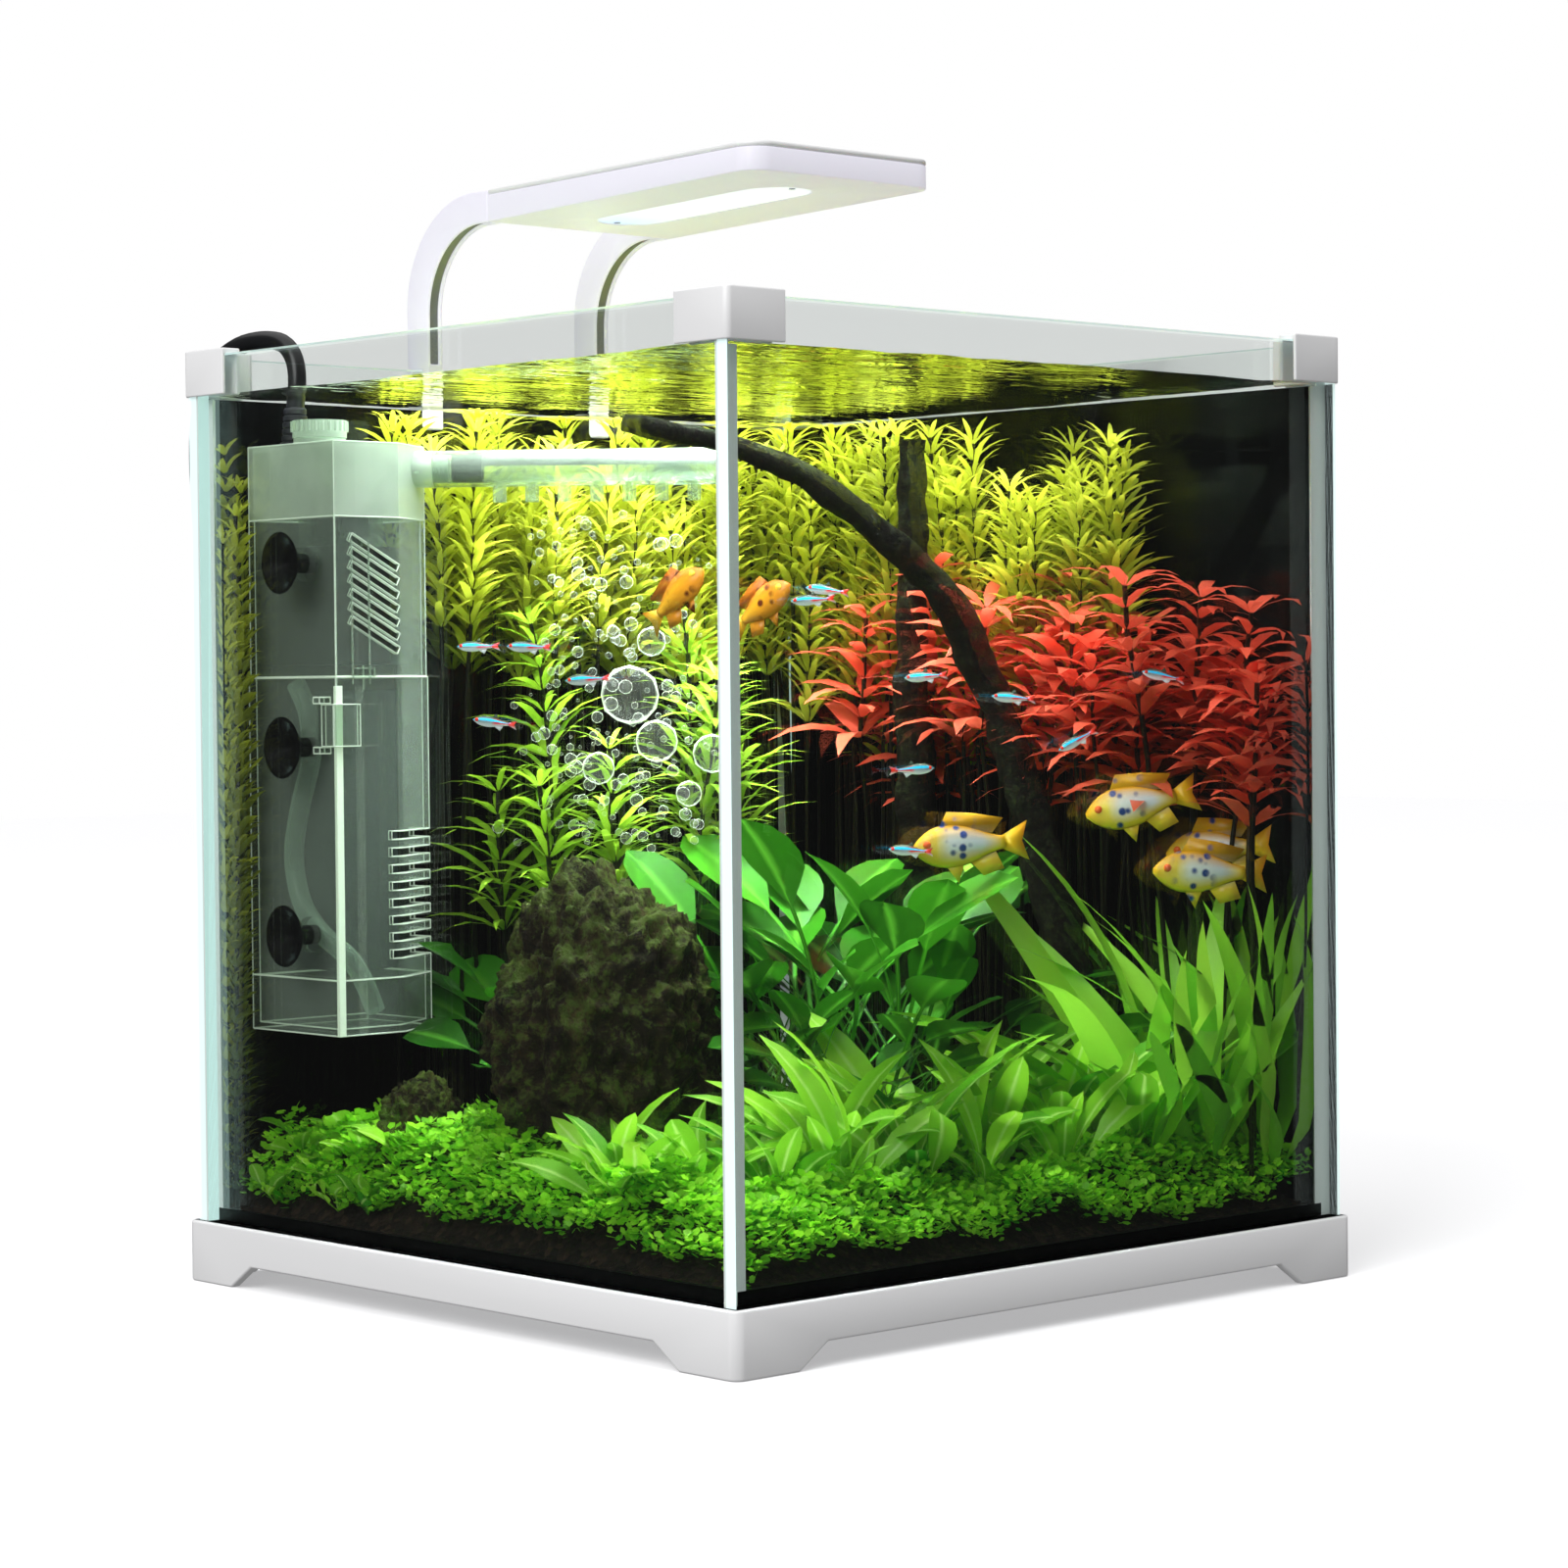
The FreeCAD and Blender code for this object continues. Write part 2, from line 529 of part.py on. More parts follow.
def make_impeller():
    axis = ["pumpAxisX", "pumpAxisY"]
    shell = rod("chamberRadius", axis + ["chamberLow"], "chamberHigh - chamberLow")
    room = rod("chamberRadius - chamberWall", axis + ["chamberLow + 1"],
               "chamberHigh - chamberLow - 2")
    throat = rod("wellRadius", axis + ["chamberLow - 1"], "3")
    cut(shell, [room, throat], "pump_chamber")
    rod("shaftRadius", axis + ["wellFloor"], "chamberHigh - 1 - wellFloor", name="impeller_shaft")
    rotor = rod("rotorRadius", axis + ["wellFloor + 1.5"], "chamberLow + 3 - wellFloor")
    blades = [rotor]
    for i in range(3):
        blade = doc.addObject("Part::Box", unique("Blade"))
        turn = Rotation(Vector(0, 0, 1), 60 * i)
        bind(blade, Length="2*bladeReach", Width="1.2", Height="bladeHigh")
        shift = turn.multVec(Vector(size("bladeReach"), 0.6, 0))
        blade.Placement = Placement(Vector(), turn)
        put(blade, [f"pumpAxisX - {shift.x}", f"pumpAxisY - ({shift.y})", "chamberLow + 3"])
        blades.append(blade)
    bore = rod("shaftRadius + shaftPlay", axis + ["0"], "clearAbove")
    cut(fuse(blades), [bore], "impeller")


KNOB_RIBS = 24


def make_knob():
    axis = ["knobX", "knobY"]
    collar = rod("collarRadius", axis + ["filterTop"], "knobLow - filterTop - 0.3")
    hole = rod("spindleRadius + shaftPlay", axis + ["0"], "clearAbove")
    cut(collar, [hole], "knob_collar")
    ribs = [rod("knobRadius - knobRib", axis + ["knobLow"], "knobTop - knobLow"),
            rod("spindleRadius", axis + ["spindleLow"], "knobTop - spindleLow - 1")]
    for i in range(KNOB_RIBS):
        angle = 2 * math.pi * i / KNOB_RIBS
        reach = "(knobRadius - knobRib)"
        ribs.append(rod("knobRib", [f"knobX + {reach}*({math.cos(angle):.4f})",
                                f"knobY + {reach}*({math.sin(angle):.4f})", "knobLow + 1.9"],
                        "knobTop - knobLow - 2.2"))
    fuse(ribs, "air_knob")
    gland = ["glandX", "glandY"]
    flange = rod("glandFoot", gland + ["filterTop"], "1.6")
    boot = cone("glandFoot - 0.4", "glandTip", gland + ["filterTop"], "glandTop - filterTop")
    bore = rod("cordRadius", gland + ["0"], "clearAbove")
    cut(fuse([flange, boot]), [bore], "cord_gland")


def make_outlet():
    pipe = rod("barRadius", along_bar("-14"), "14.7", DIAGONAL)
    spigot = rod("barBore - 0.2", along_bar("0.7"), "4.8", DIAGONAL)
    bore = rod("3", along_bar("-20"), "40", DIAGONAL)
    cut(fuse([pipe, spigot]), [bore], "outlet_nozzle")
    parts = [rod("barRadius", along_bar("barStart"), "barLong", DIAGONAL)]
    bores = [rod("barBore", along_bar("barStart - 1"), "barLong + 2", DIAGONAL)]
    for i in range(7):
        place = along_bar(f"jetFirst + {i}*jetPitch", "-(barRadius + jetLong)")
        parts.append(rod("jetRadius", place, "jetLong + 1.2"))
        bores.append(rod("jetBore", place[:2] + [f"{place[2]} - 1"], "jetLong + 4"))
    cut(fuse(parts), bores, "spray_bar")
    rod("barRadius", along_bar("barStart + barLong"), "capThick", DIAGONAL, name="spray_bar_end_cap")
    plug = rod("barBore", along_bar("6.7"), "9.3", DIAGONAL)
    stem = rod("1.2", along_bar("15", "1.9"), "barLong + barStart - 15", DIAGONAL)
    way = rod("1.6", along_bar("5", "-1.8"), "12", DIAGONAL)
    cut(fuse([plug, stem]), [way], "flow_regulator")


def suction_cup(up, stop):
    """A soft cup against the left pane, on a stud that reaches the housing wall at stop."""
    rim = f"-({GLASS_IN}) + cupGap"
    dish = cone("cupRadius", "cupStud + 0.4", [rim, "cupY", up], "cupDish", TO_X)
    space = cone("cupRadius - cupRim", "0.5", [f"{rim} - 0.01", "cupY", up], "cupDish - 1.6", TO_X)
    neck = f"{rim} + cupDish - 1"
    stud = rod("cupStud", [neck, "cupY", up], f"({stop}) - ({neck})", TO_X)
    return cut(fuse([dish, stud]), [space])


def make_canister():
    skin = "filterLeft - canisterProud"
    outer = filter_block("-canisterProud", "floorTop", "canisterTop")
    lugs = [rod("holderRadius", [f"{skin} - holderLong + canisterProud", "cupY", up],
                "holderLong + 0.2 - canisterProud", TO_X) for up in ("cupMiddle", "cupLower")]
    for low, high in (("latchLow - 2.2", "latchLow - 0.3"), ("latchHigh + 0.3", "latchHigh + 2.2")):
        lugs.append(block(["pinX - 1.6", "pinY - 1.6", low], [f"{skin} + 0.2", "pinY + 1.6", high]))
    room = filter_block("filterWall", "0", "clearAbove")
    studs = [rod("cupStud", [f"{skin} - 2*holderLong", "cupY", up], "2*holderLong", TO_X)
             for up in ("cupMiddle", "cupLower")]
    rod("pinRadius", ["pinX", "pinY", "latchLow - 2.2"], "latchHigh - latchLow + 4.4",
        name="latch_pin")
    pin_hole = rod("pinRadius", ["pinX", "pinY", "latchLow - 3"], "latchHigh - latchLow + 6")
    slots = [block(["intakeLeft", "filterFront - 3", f"intakeLow + {i}*intakePitch"],
                   ["filterLeft + filterWide + 3", "intakeBack",
                    f"intakeLow + {i}*intakePitch + intakeHigh"]) for i in range(8)]
    cut(fuse([outer] + lugs), [room, pin_hole] + studs + slots, "canister_body")
    base = filter_block("-canisterProud", "filterBottom", "floorTop")
    well = filter_block("filterWall", "filterBottom + 2", "floorTop + 1")
    cut(base, [well], "canister_floor")
    sponge = filter_block("spongeInset", "floorTop + 2", "canisterTop - 4")
    groove = feature(tube(HOSE_ROUTE, size("hoseRadius") + size("hosePlay"), "hose groove"),
                     unique("Groove"))
    cut(sponge, [groove], "filter_sponge")
    front = "filterFront - canisterProud"
    block([f"{skin} - 0.8", f"{front} - railThick", "filterBottom"],
          [f"{skin} - 0.8 + railWide", front, "railTop"], "canister_rail")
    cups = doc.addObject("Part::Compound", "suction_cups_lower")
    cups.Links = [suction_cup(up, skin) for up in ("cupMiddle", "cupLower")]
    upper = suction_cup("cupUpper", "filterLeft")
    upper.Label = "suction_cup_upper"
    tall = "latchHigh - latchLow"
    plate_x = "pinX - latchThick/2"
    lip_front = f"{front} - railThick - 0.4 - latchThick"
    plate = block([plate_x, lip_front, "latchLow"], [f"{plate_x} + latchThick", "pinY", "latchHigh"])
    lip = block([plate_x, lip_front, "latchLow"],
                [f"{plate_x} + 10", f"{lip_front} + latchThick", "latchHigh"])
    knuckle = rod("1.7", ["pinX", "pinY", "latchLow"], tall)
    hole = rod("pinRadius + pinPlay", ["pinX", "pinY", "0"], "clearAbove")
    cut(fuse([plate, lip, knuckle]), [hole], "canister_latch")


# ---------------------------------------------------------------- hose and cord

HOSE_ROUTE = [(-103.2, 99, 184), (-103.2, 93, 176), (-103.2, 91, 162), (-103.2, 98, 147),
              (-103.2, 102.5, 131), (-103.2, 98, 116), (-103.0, 87, 107), (-99, 77.4, 100),
              (-94, 77, 91), (-91, 77, 84)]
CORD_ROUTE = [(-95, 109.5, 270), (-94.2, 108.0, 280), (-94, 113.5, 290), (-95, 124, 292.6),
              (-98, 138, 291), (-100.5, 148.5, 283), (-101.5, 153.5, 268), (-101, 154, 244),
              (-100, 150, 205), (-101, 146, 158), (-104, 143, 110), (-103, 141, 70),
              (-98, 140, 42), (-90, 139, 22), (-78, 138, 9), (-64, 137.1, 3.9),
              (-56, 137.1, 3.9)]
TAIL_ROUTE = [(-27.6, 141.8, 15.5), (-20, 146.0, 14.6), (-10, 150.2, 11.6), (0, 152, 8.0),
              (8, 152, 6.85), (16, 152, 6.85)]
COIL_TURNS = 5
COIL_REST = 30 / 360       # the share of a turn on which the cord leaves the coil


def bend_radii(route):
    """The arc radius that each point of a route allows."""
    radii = []
    for before, point, after in zip(route, route[1:], route[2:]):
        run_in = Vector(*point).sub(Vector(*before))
        run_out = Vector(*after).sub(Vector(*point))
        turn = run_in.getAngle(run_out)
        radii.append(0.45 * min(run_in.Length, run_out.Length) / math.tan(turn / 2))
    return radii


def tube(route, radius, name):
    """A round tube along straight runs joined by tangent arcs."""
    radii = bend_radii(route)
    edges, last = [], Vector(*route[0])
    for i, reach in enumerate(radii, start=1):
        point = Vector(*route[i])
        back = Vector(*route[i - 1]).sub(point).normalize()
        ahead = Vector(*route[i + 1]).sub(point).normalize()
        turn = math.pi - back.getAngle(ahead)
        trim = reach * math.tan(turn / 2)
        start, end = point + back * trim, point + ahead * trim
        bisector = (back + ahead).normalize()
        middle = point + bisector * (reach / math.cos(turn / 2) - reach)
        edges.append(Part.LineSegment(last, start).toShape())
        edges.append(Part.Arc(start, middle, end).toShape())
        last = end
    edges.append(Part.LineSegment(last, Vector(*route[-1])).toShape())
    path = Part.Wire(edges)
    ring = Part.Wire([Part.Circle(Vector(*route[0]), Vector(*route[1]).sub(Vector(*route[0])),
                                  radius).toShape()])
    solid = path.makePipeShell([ring], True, False)
    expected = math.pi * radius ** 2 * path.Length
    print(name, "length", round(path.Length, 1), "volume ratio", round(solid.Volume / expected, 4),
          "radii", [round(r, 1) for r in radii])
    return solid


def feature(shape, name):
    thing = doc.addObject("Part::Feature", name)
    thing.Shape = shape
    thing.Placement = Placement()
    return thing


def make_cord():
    radius = size("cordRadius")
    feature(tube(HOSE_ROUTE, size("hoseRadius"), "air_hose"), "air_hose")
    lead = feature(tube(CORD_ROUTE, radius, "pump_cord"), unique("Lead"))
    tail = feature(tube(TAIL_ROUTE, radius, "cord_tail"), unique("Tail"))
    axis = ["coilX", "coilY", "coilLift"]
    ring = cut(rod("coilMean + 2*cordRadius", axis, "6*cordRadius"),
               [rod("coilMean - 2*cordRadius", ["coilX", "coilY", "0"], "100")], "cord_coil")
    cords = doc.addObject("Part::Compound", "pump_cord")
    cords.Links = [cut(lead, [ring]), cut(tail, [ring])]
    low, high = "coilY + coilMean - 2*cordRadius", "coilY + coilMean + 2*cordRadius"
    around = block(["coilX - tieWide/2", f"{low} - 1", "0"],
                   ["coilX + tieWide/2", f"{high} + 1", "coilLift + 6*cordRadius + 1"])
    cut(around, [ring], "cord_tie")
    around_once = 2 * math.pi * size("coilMean")
    print("coil length", round(around_once * (COIL_TURNS + COIL_REST), 1))


def make_plug():
    """A flat two-pin plug with a tapering neck, lying on its wide side."""
    half = "plugThick/2"
    neck = cone("cordRadius + 0.9", "plugThick/2 - 1.2", ["plugX - 6", "plugY", half], "plugNeck + 6",
                TO_X)
    start = "plugX + plugNeck - 8"
    outline = [(start, "plugY - 6"), (f"{start} + 10", "plugY - plugWide/2"),
               (f"{start} + plugLong", "plugY - plugWide/2"), (f"{start} + plugLong", "plugY + plugWide/2"),
               (f"{start} + 10", "plugY + plugWide/2"), (start, "plugY + 6")]
    shell = prism(outline, "XY_Plane", 0, "plugThick", rounding=("3", is_upright))
    fuse([neck, shell], "plug_body")
    pins = [rod("plugPin", [f"{start} + plugLong", f"plugY + {side}*pinSpacing/2", half],
                "pinLong", TO_X) for side in (-1, 1)]
    group = doc.addObject("Part::Compound", "plug_pins")
    group.Links = pins


make_base()
make_glass()
make_silicone()
make_films()
make_clips()
make_bed()
make_head()
make_arms()
make_pump()
make_impeller()
make_knob()
make_outlet()
make_canister()
make_cord()
make_plug()
doc.recompute()

NODES = [thing for thing in doc.Objects if re.fullmatch(r"[a-z]+(_[a-z]+)+|impeller", thing.Label)]
for thing in doc.Objects:
    failed = {"Invalid", "Error"} & set(thing.State)
    if failed:
        raise RuntimeError(f"{thing.Label}: {thing.State}")
for thing in NODES:
    if thing.Shape.isNull() or not thing.Shape.isValid() or thing.Shape.Volume <= 0:
        raise RuntimeError(f"{thing.Label} has no valid shape")

os.makedirs("parts", exist_ok=True)
for thing in NODES:
    thing.Shape.exportStep(f"parts/{thing.Label}.step")
    print(f"{thing.Label:28s} {len(thing.Shape.Solids)} solids {thing.Shape.Volume:10.0f} mm3")
print(len(NODES), "nodes")
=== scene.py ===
import math
import random
from functools import partial
import bpy
import bmesh
from mathutils import Matrix, Vector, noise
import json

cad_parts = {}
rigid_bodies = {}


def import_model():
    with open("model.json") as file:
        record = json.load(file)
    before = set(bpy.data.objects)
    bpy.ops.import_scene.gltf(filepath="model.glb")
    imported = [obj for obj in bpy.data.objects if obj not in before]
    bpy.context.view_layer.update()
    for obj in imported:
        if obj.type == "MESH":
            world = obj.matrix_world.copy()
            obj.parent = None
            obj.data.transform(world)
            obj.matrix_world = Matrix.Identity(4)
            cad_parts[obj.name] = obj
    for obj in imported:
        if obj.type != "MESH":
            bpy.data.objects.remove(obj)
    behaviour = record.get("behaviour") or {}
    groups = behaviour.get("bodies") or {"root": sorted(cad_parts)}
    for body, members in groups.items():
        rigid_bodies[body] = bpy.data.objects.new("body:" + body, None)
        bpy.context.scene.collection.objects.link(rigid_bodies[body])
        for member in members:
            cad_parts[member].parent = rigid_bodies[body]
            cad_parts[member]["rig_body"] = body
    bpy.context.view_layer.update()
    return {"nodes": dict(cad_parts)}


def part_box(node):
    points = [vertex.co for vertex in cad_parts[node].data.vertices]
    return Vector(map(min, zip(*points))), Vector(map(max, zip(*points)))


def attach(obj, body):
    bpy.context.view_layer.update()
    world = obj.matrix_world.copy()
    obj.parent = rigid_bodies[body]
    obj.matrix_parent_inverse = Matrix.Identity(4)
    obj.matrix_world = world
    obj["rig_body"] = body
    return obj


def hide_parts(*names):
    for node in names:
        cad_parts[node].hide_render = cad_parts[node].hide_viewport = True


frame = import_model()
nodes = frame["nodes"]
scene = bpy.context.scene
millimetre = 0.001
print("frame loaded:", len(nodes), "CAD nodes")


# ---- camera

cameraPlan = {
    "place": (-0.79212, -0.86849, 0.18157),   # metres
    "yaw": 47.3067, "pitch": 1.4347, "roll": -0.5371,   # degrees
    "lens": 87.88, "sensor": 36.0,   # millimetres
}


def makeCamera(plan):
    yaw, pitch, roll = (math.radians(plan[k]) for k in ("yaw", "pitch", "roll"))
    ahead = Vector((math.cos(yaw) * math.cos(pitch), math.sin(yaw) * math.cos(pitch), -math.sin(pitch)))
    level = Vector((math.sin(yaw), -math.cos(yaw), 0))
    above = level.cross(ahead)
    right = level * math.cos(roll) + above * math.sin(roll)
    up = above * math.cos(roll) - level * math.sin(roll)
    turn = Matrix((right, up, -ahead)).transposed().to_4x4()
    lens = bpy.data.cameras.new("camera")
    lens.lens, lens.sensor_width = plan["lens"], plan["sensor"]
    lens.clip_start, lens.clip_end = 0.05, 50
    camera = bpy.data.objects.new("camera", lens)
    camera.matrix_world = Matrix.Translation(plan["place"]) @ turn
    scene.collection.objects.link(camera)
    scene.camera = camera


makeCamera(cameraPlan)
print("camera set")


# ---- shared helpers

def linear(hexColour):
    # an sRGB hex value as linear red, green, blue and alpha
    parts = [int(hexColour[i:i + 2], 16) / 255 for i in (1, 3, 5)]
    return tuple(c / 12.92 if c <= 0.04045 else ((c + 0.055) / 1.055) ** 2.4 for c in parts) + (1.0,)


def addNode(tree, kind, inputs=(), stops=(), **settings):
    # one node with its settings, colour stops, input values and links; an operation's name gives a maths node
    node = tree.nodes.new("ShaderNodeMath" if kind.isupper() else kind)
    if kind.isupper():
        node.operation = kind
    for name, value in settings.items():
        setattr(node, name, value)
    for place, colour in stops[2:]:
        node.color_ramp.elements.new(place)
    for element, (place, colour) in zip(node.color_ramp.elements if stops else (), stops):
        element.position, element.color = place, linear(colour)
    for key, value in inputs.items() if isinstance(inputs, dict) else enumerate(inputs):
        if isinstance(value, bpy.types.Node):
            value = value.outputs[0]
        if isinstance(value, bpy.types.NodeSocket):
            tree.links.new(value, node.inputs[key])
        else:
            node.inputs[key].default_value = value
    return node


def newMaterial(name):
    material = bpy.data.materials.new(name)
    material.use_nodes = True
    material.node_tree.nodes.clear()
    return material, partial(addNode, material.node_tree)


def mouldedFinish(name, colour, roughness, ior, grainMm, grainDepth, mottle=0.0, **extra):
    # a dense material with a fine bumpy skin, its grain given in millimetres
    material, add = newMaterial(name)
    place = add("ShaderNodeTexCoord").outputs["Object"]
    grain = add("ShaderNodeTexNoise", {"Vector": place, "Scale": 1 / (grainMm * millimetre), "Detail": 2.0})
    bump = add("ShaderNodeBump", {"Height": grain, "Strength": grainDepth, "Distance": 0.0002})
    base = linear(colour)
    if mottle:
        broad = add("ShaderNodeTexNoise", {"Vector": place, "Scale": 0.12 / (grainMm * millimetre)})
        shade = add("ShaderNodeMapRange", {0: broad, 3: 1 - mottle, 4: 1 + mottle})
        base = add("ShaderNodeMix", {0: 1.0, 6: base, 7: shade}, data_type="RGBA",
                blend_type="MULTIPLY").outputs[2]
    values = {socket.replace("_", " "): value for socket, value in extra.items()}
    shader = add("ShaderNodeBsdfPrincipled", {"Base Color": base, "Roughness": roughness, "IOR": ior,
            "Normal": bump, **values})
    add("ShaderNodeOutputMaterial", {"Surface": shader})
    return material


def addPiece(name, mesh, body, stands=(), material=None):
    # a finished mesh as an object that rides on its body
    piece = bpy.data.objects.new(name, mesh)
    scene.collection.objects.link(piece)
    if material is not None:
        piece.data.materials.clear()
        piece.data.materials.append(material)
    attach(piece, body)
    if stands:
        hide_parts(*stands)
    return piece


def meshFrom(name, vertices, faces, smooth=True):
    # vertices in millimetres
    mesh = bpy.data.meshes.new(name)
    mesh.from_pydata([tuple(c * millimetre for c in v) for v in vertices], [], faces)
    if smooth:
        mesh.shade_smooth()
    return mesh


def sheetFaces(cells):
    # the faces of a square sheet with that many cells along each side
    row = cells + 1
    return [(a, a + 1, a + 1 + row, a + row) for j in range(cells) for a in range(j * row, j * row + cells)]


def tubeFaces(rings, segments):
    # the faces of a tube, closed at both ends
    faces = []
    for ring in range(rings):
        for i in range(segments):
            a, b = ring * segments + i, ring * segments + (i + 1) % segments
            faces.append((a, b, b + segments, a + segments))
    last = rings * segments
    return faces + [tuple(range(segments - 1, -1, -1)), tuple(range(last, last + segments))]


def pieceName(start, nodeName):
    # such as softBaseTray for the node base_tray
    return start + "".join(word.capitalize() for word in nodeName.split("_"))


def bodyOf(nodeName):
    return nodes[nodeName]["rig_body"]


def dress(material, *names):
    # gives CAD nodes their material
    for name in names:
        node = nodes[name]
        node.data.materials.clear()
        node.data.materials.append(material)


def smoothStep(low, high, value):
    t = min(1.0, max(0.0, (value - low) / (high - low)))
    return t * t * (3 - 2 * t)


# ---- mains cord

# Plasticised PVC sheath, extruded: black, smooth and softly glossy.
cordPvc = mouldedFinish("plasticisedPvcSheath", "#17181A", 0.32, 1.53, 0.5, 0.05)
# Thermoplastic moulding of plug and strain relief: black with a fine matt spark texture.
plugPvc = mouldedFinish("mouldedBlackPvc", "#1B1C1F", 0.42, 1.53, 0.35, 0.25)

cordPlan = {
    "radius": 2.9,
    "lead": [(-95, 109.5, 270), (-94.2, 108.0, 280), (-94, 113.5, 290), (-95, 124, 292.6),
             (-98, 138, 291), (-100.5, 148.5, 283), (-101.5, 153.5, 268), (-101, 154, 244),
             (-100, 150, 205), (-101, 146, 158), (-104, 143, 110), (-103, 141, 70),
             (-98, 140, 42), (-90, 139, 22), (-78, 138, 9), (-64, 137.1, 3.9),
             (-56, 137.1, 3.9)],
    "tail": [(-27.6, 141.8, 15.5), (-20, 146.0, 14.6), (-10, 150.2, 11.6), (0, 152, 8.0),
             (8, 152, 6.85), (16, 152, 6.85)],
    "coilCentre": (-45, 172),
    "outer": 34.9, "inner": 29.1, "levels": (3.9, 9.7, 15.5),
    "start": -90, "end": 1740, "step": 15, "change": 60,   # degrees along the coil
    "inward": (195, 1250), "outward": (915, 1565), "upward": (555, 1250),   # where each change starts
    "length": 1.43,   # metres
}


def coilPoint(plan, angle):
    # the turns lie outer and inner below, inner and outer in the middle, then on top
    drop = plan["outer"] - plan["inner"]
    rise = plan["levels"][1] - plan["levels"][0]
    inward, outward, level = (sum(smoothStep(at, at + plan["change"], angle) for at in plan[way])
                              for way in ("inward", "outward", "upward"))
    radius = (plan["outer"] - drop * (inward - outward)) / math.cos(math.radians(plan["step"] / 2))
    x, y = plan["coilCentre"]
    turn = math.radians(angle)
    return (x + radius * math.cos(turn), y + radius * math.sin(turn), plan["levels"][0] + rise * level)


def makeCord(plan):
    line = list(plan["lead"])
    steps = int((plan["end"] - plan["start"]) / plan["step"])
    line += [coilPoint(plan, plan["start"] + (i + 0.5) * plan["step"]) for i in range(steps)]
    line += plan["tail"]
    curve = bpy.data.curves.new("mainsCord", "CURVE")
    curve.dimensions = "3D"
    curve.bevel_depth, curve.bevel_resolution = plan["radius"] * millimetre, 5
    curve.resolution_u = 5
    curve.use_fill_caps = True
    spline = curve.splines.new("NURBS")
    spline.points.add(len(line) - 1)
    for point, place in zip(spline.points, line):
        point.co = [c * millimetre for c in place] + [1.0]
    spline.order_u = 3
    spline.use_endpoint_u = True
    curve.materials.append(cordPvc)
    cord = bpy.data.objects.new("mainsCord", curve)
    scene.collection.objects.link(cord)
    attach(cord, "root")
    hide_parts("pump_cord", "cord_coil")
    return cord


def lathe(profile, centre, segments=32):
    # a closed turned shape about a vertical axis, from pairs of radius and height
    vertices = []
    for radius, height in profile:
        for i in range(segments):
            turn = 2 * math.pi * i / segments
            x, y = centre[0] + radius * math.cos(turn), centre[1] + radius * math.sin(turn)
            vertices.append((x, y, height))
    return vertices, tubeFaces(len(profile) - 1, segments)


reliefPlan = {"centre": (-95, 109.5), "low": 257.5, "high": 270, "foot": 4.8, "tip": 3.5,
              "ribs": 5, "groove": 0.35}


def makeStrainRelief(plan):
    # a tapered ribbed sleeve where the cord leaves the pump
    profile = [(plan["foot"], plan["low"]), (plan["foot"], plan["low"] + 1.6)]
    span = plan["high"] - plan["low"] - 2.2
    for i in range(plan["ribs"]):
        bottom = plan["low"] + 2.0 + span * i / plan["ribs"]
        radius = plan["foot"] - 0.4 - (plan["foot"] - 0.4 - plan["tip"]) * (i + 0.5) / plan["ribs"]
        profile += [(radius - plan["groove"], bottom), (radius, bottom + 0.3),
                    (radius, bottom + span / plan["ribs"] - 0.5)]
    profile += [(plan["tip"] - 0.3, plan["high"] - 0.1), (plan["tip"] - 0.5, plan["high"])]
    mesh = meshFrom("cordStrainRelief", *lathe(profile, plan["centre"]), smooth=False)
    return addPiece("cordStrainRelief", mesh, "root", ["cord_gland"], plugPvc)


cord = makeCord(cordPlan)
strainRelief = makeStrainRelief(reliefPlan)
dress(plugPvc, "plug_body", "cord_tie")
# Nickel-plated brass pins, turned and polished: warm grey metal.
pinMetal = mouldedFinish("nickelPlatedBrass", "#C9C5BC", 0.22, 1.5, 0.5, 0.02, Metallic=1.0)
dress(pinMetal, "plug_pins")
print("cord laid")


# ---- white plastic shells

# Injection-moulded ABS in a cool off-white: satin, with a hardly visible spark grain.
whiteAbs = mouldedFinish("mouldedWhiteAbs", "#EAEAEB", 0.36, 1.54, 0.4, 0.06)
# The same plastic on the lamp's housing and arms near the LEDs: a darker base with a painted glow that lifts
# their shaded sides to pale white.
glowPaintedAbs = mouldedFinish("whiteAbsPaintedGlow", "#B2B0B8", 0.45, 1.4, 0.4, 0.06,
                        Emission_Color=linear("#ECEAF6"), Emission_Strength=0.52)

edgePlan = {   # bevel width in millimetres of each shell's edges
    "base_tray": 0.7, "corner_clip_front_left": 0.5, "corner_clip_front_right": 0.5,
    "corner_clip_back_left": 0.5, "corner_clip_back_right": 0.5, "lamp_housing": 0.45,
    "lamp_top_cover": 0.7, "lamp_arm_left": 0.6, "lamp_arm_right": 0.6,
}
# the lamp's shells that get the painted glow
glowPaintedShells = ("lamp_housing", "lamp_arm_left", "lamp_arm_right")


def mergedMesh(nodeName):
    # a copy of a CAD node's mesh, welded and with its flat faces whole
    mesh = nodes[nodeName].data.copy()
    shell = bmesh.new()
    shell.from_mesh(mesh)
    bmesh.ops.remove_doubles(shell, verts=shell.verts, dist=2e-6)
    bmesh.ops.dissolve_limit(shell, angle_limit=math.radians(0.6), verts=shell.verts, edges=shell.edges)
    shell.to_mesh(mesh)
    shell.free()
    return mesh


def softEdges(nodeName, width):
    # a copy of the moulded part whose edges have the radius of its tool
    mesh = mergedMesh(nodeName)
    mesh.name = pieceName("soft", nodeName)
    mesh.shade_smooth()
    piece = addPiece(mesh.name, mesh, bodyOf(nodeName), [nodeName],
                     glowPaintedAbs if nodeName in glowPaintedShells else whiteAbs)
    bevel = piece.modifiers.new("edgeRadius", "BEVEL")
    bevel.width, bevel.segments = width * millimetre, 3
    bevel.limit_method, bevel.angle_limit = "ANGLE", math.radians(28)
    bevel.harden_normals = True


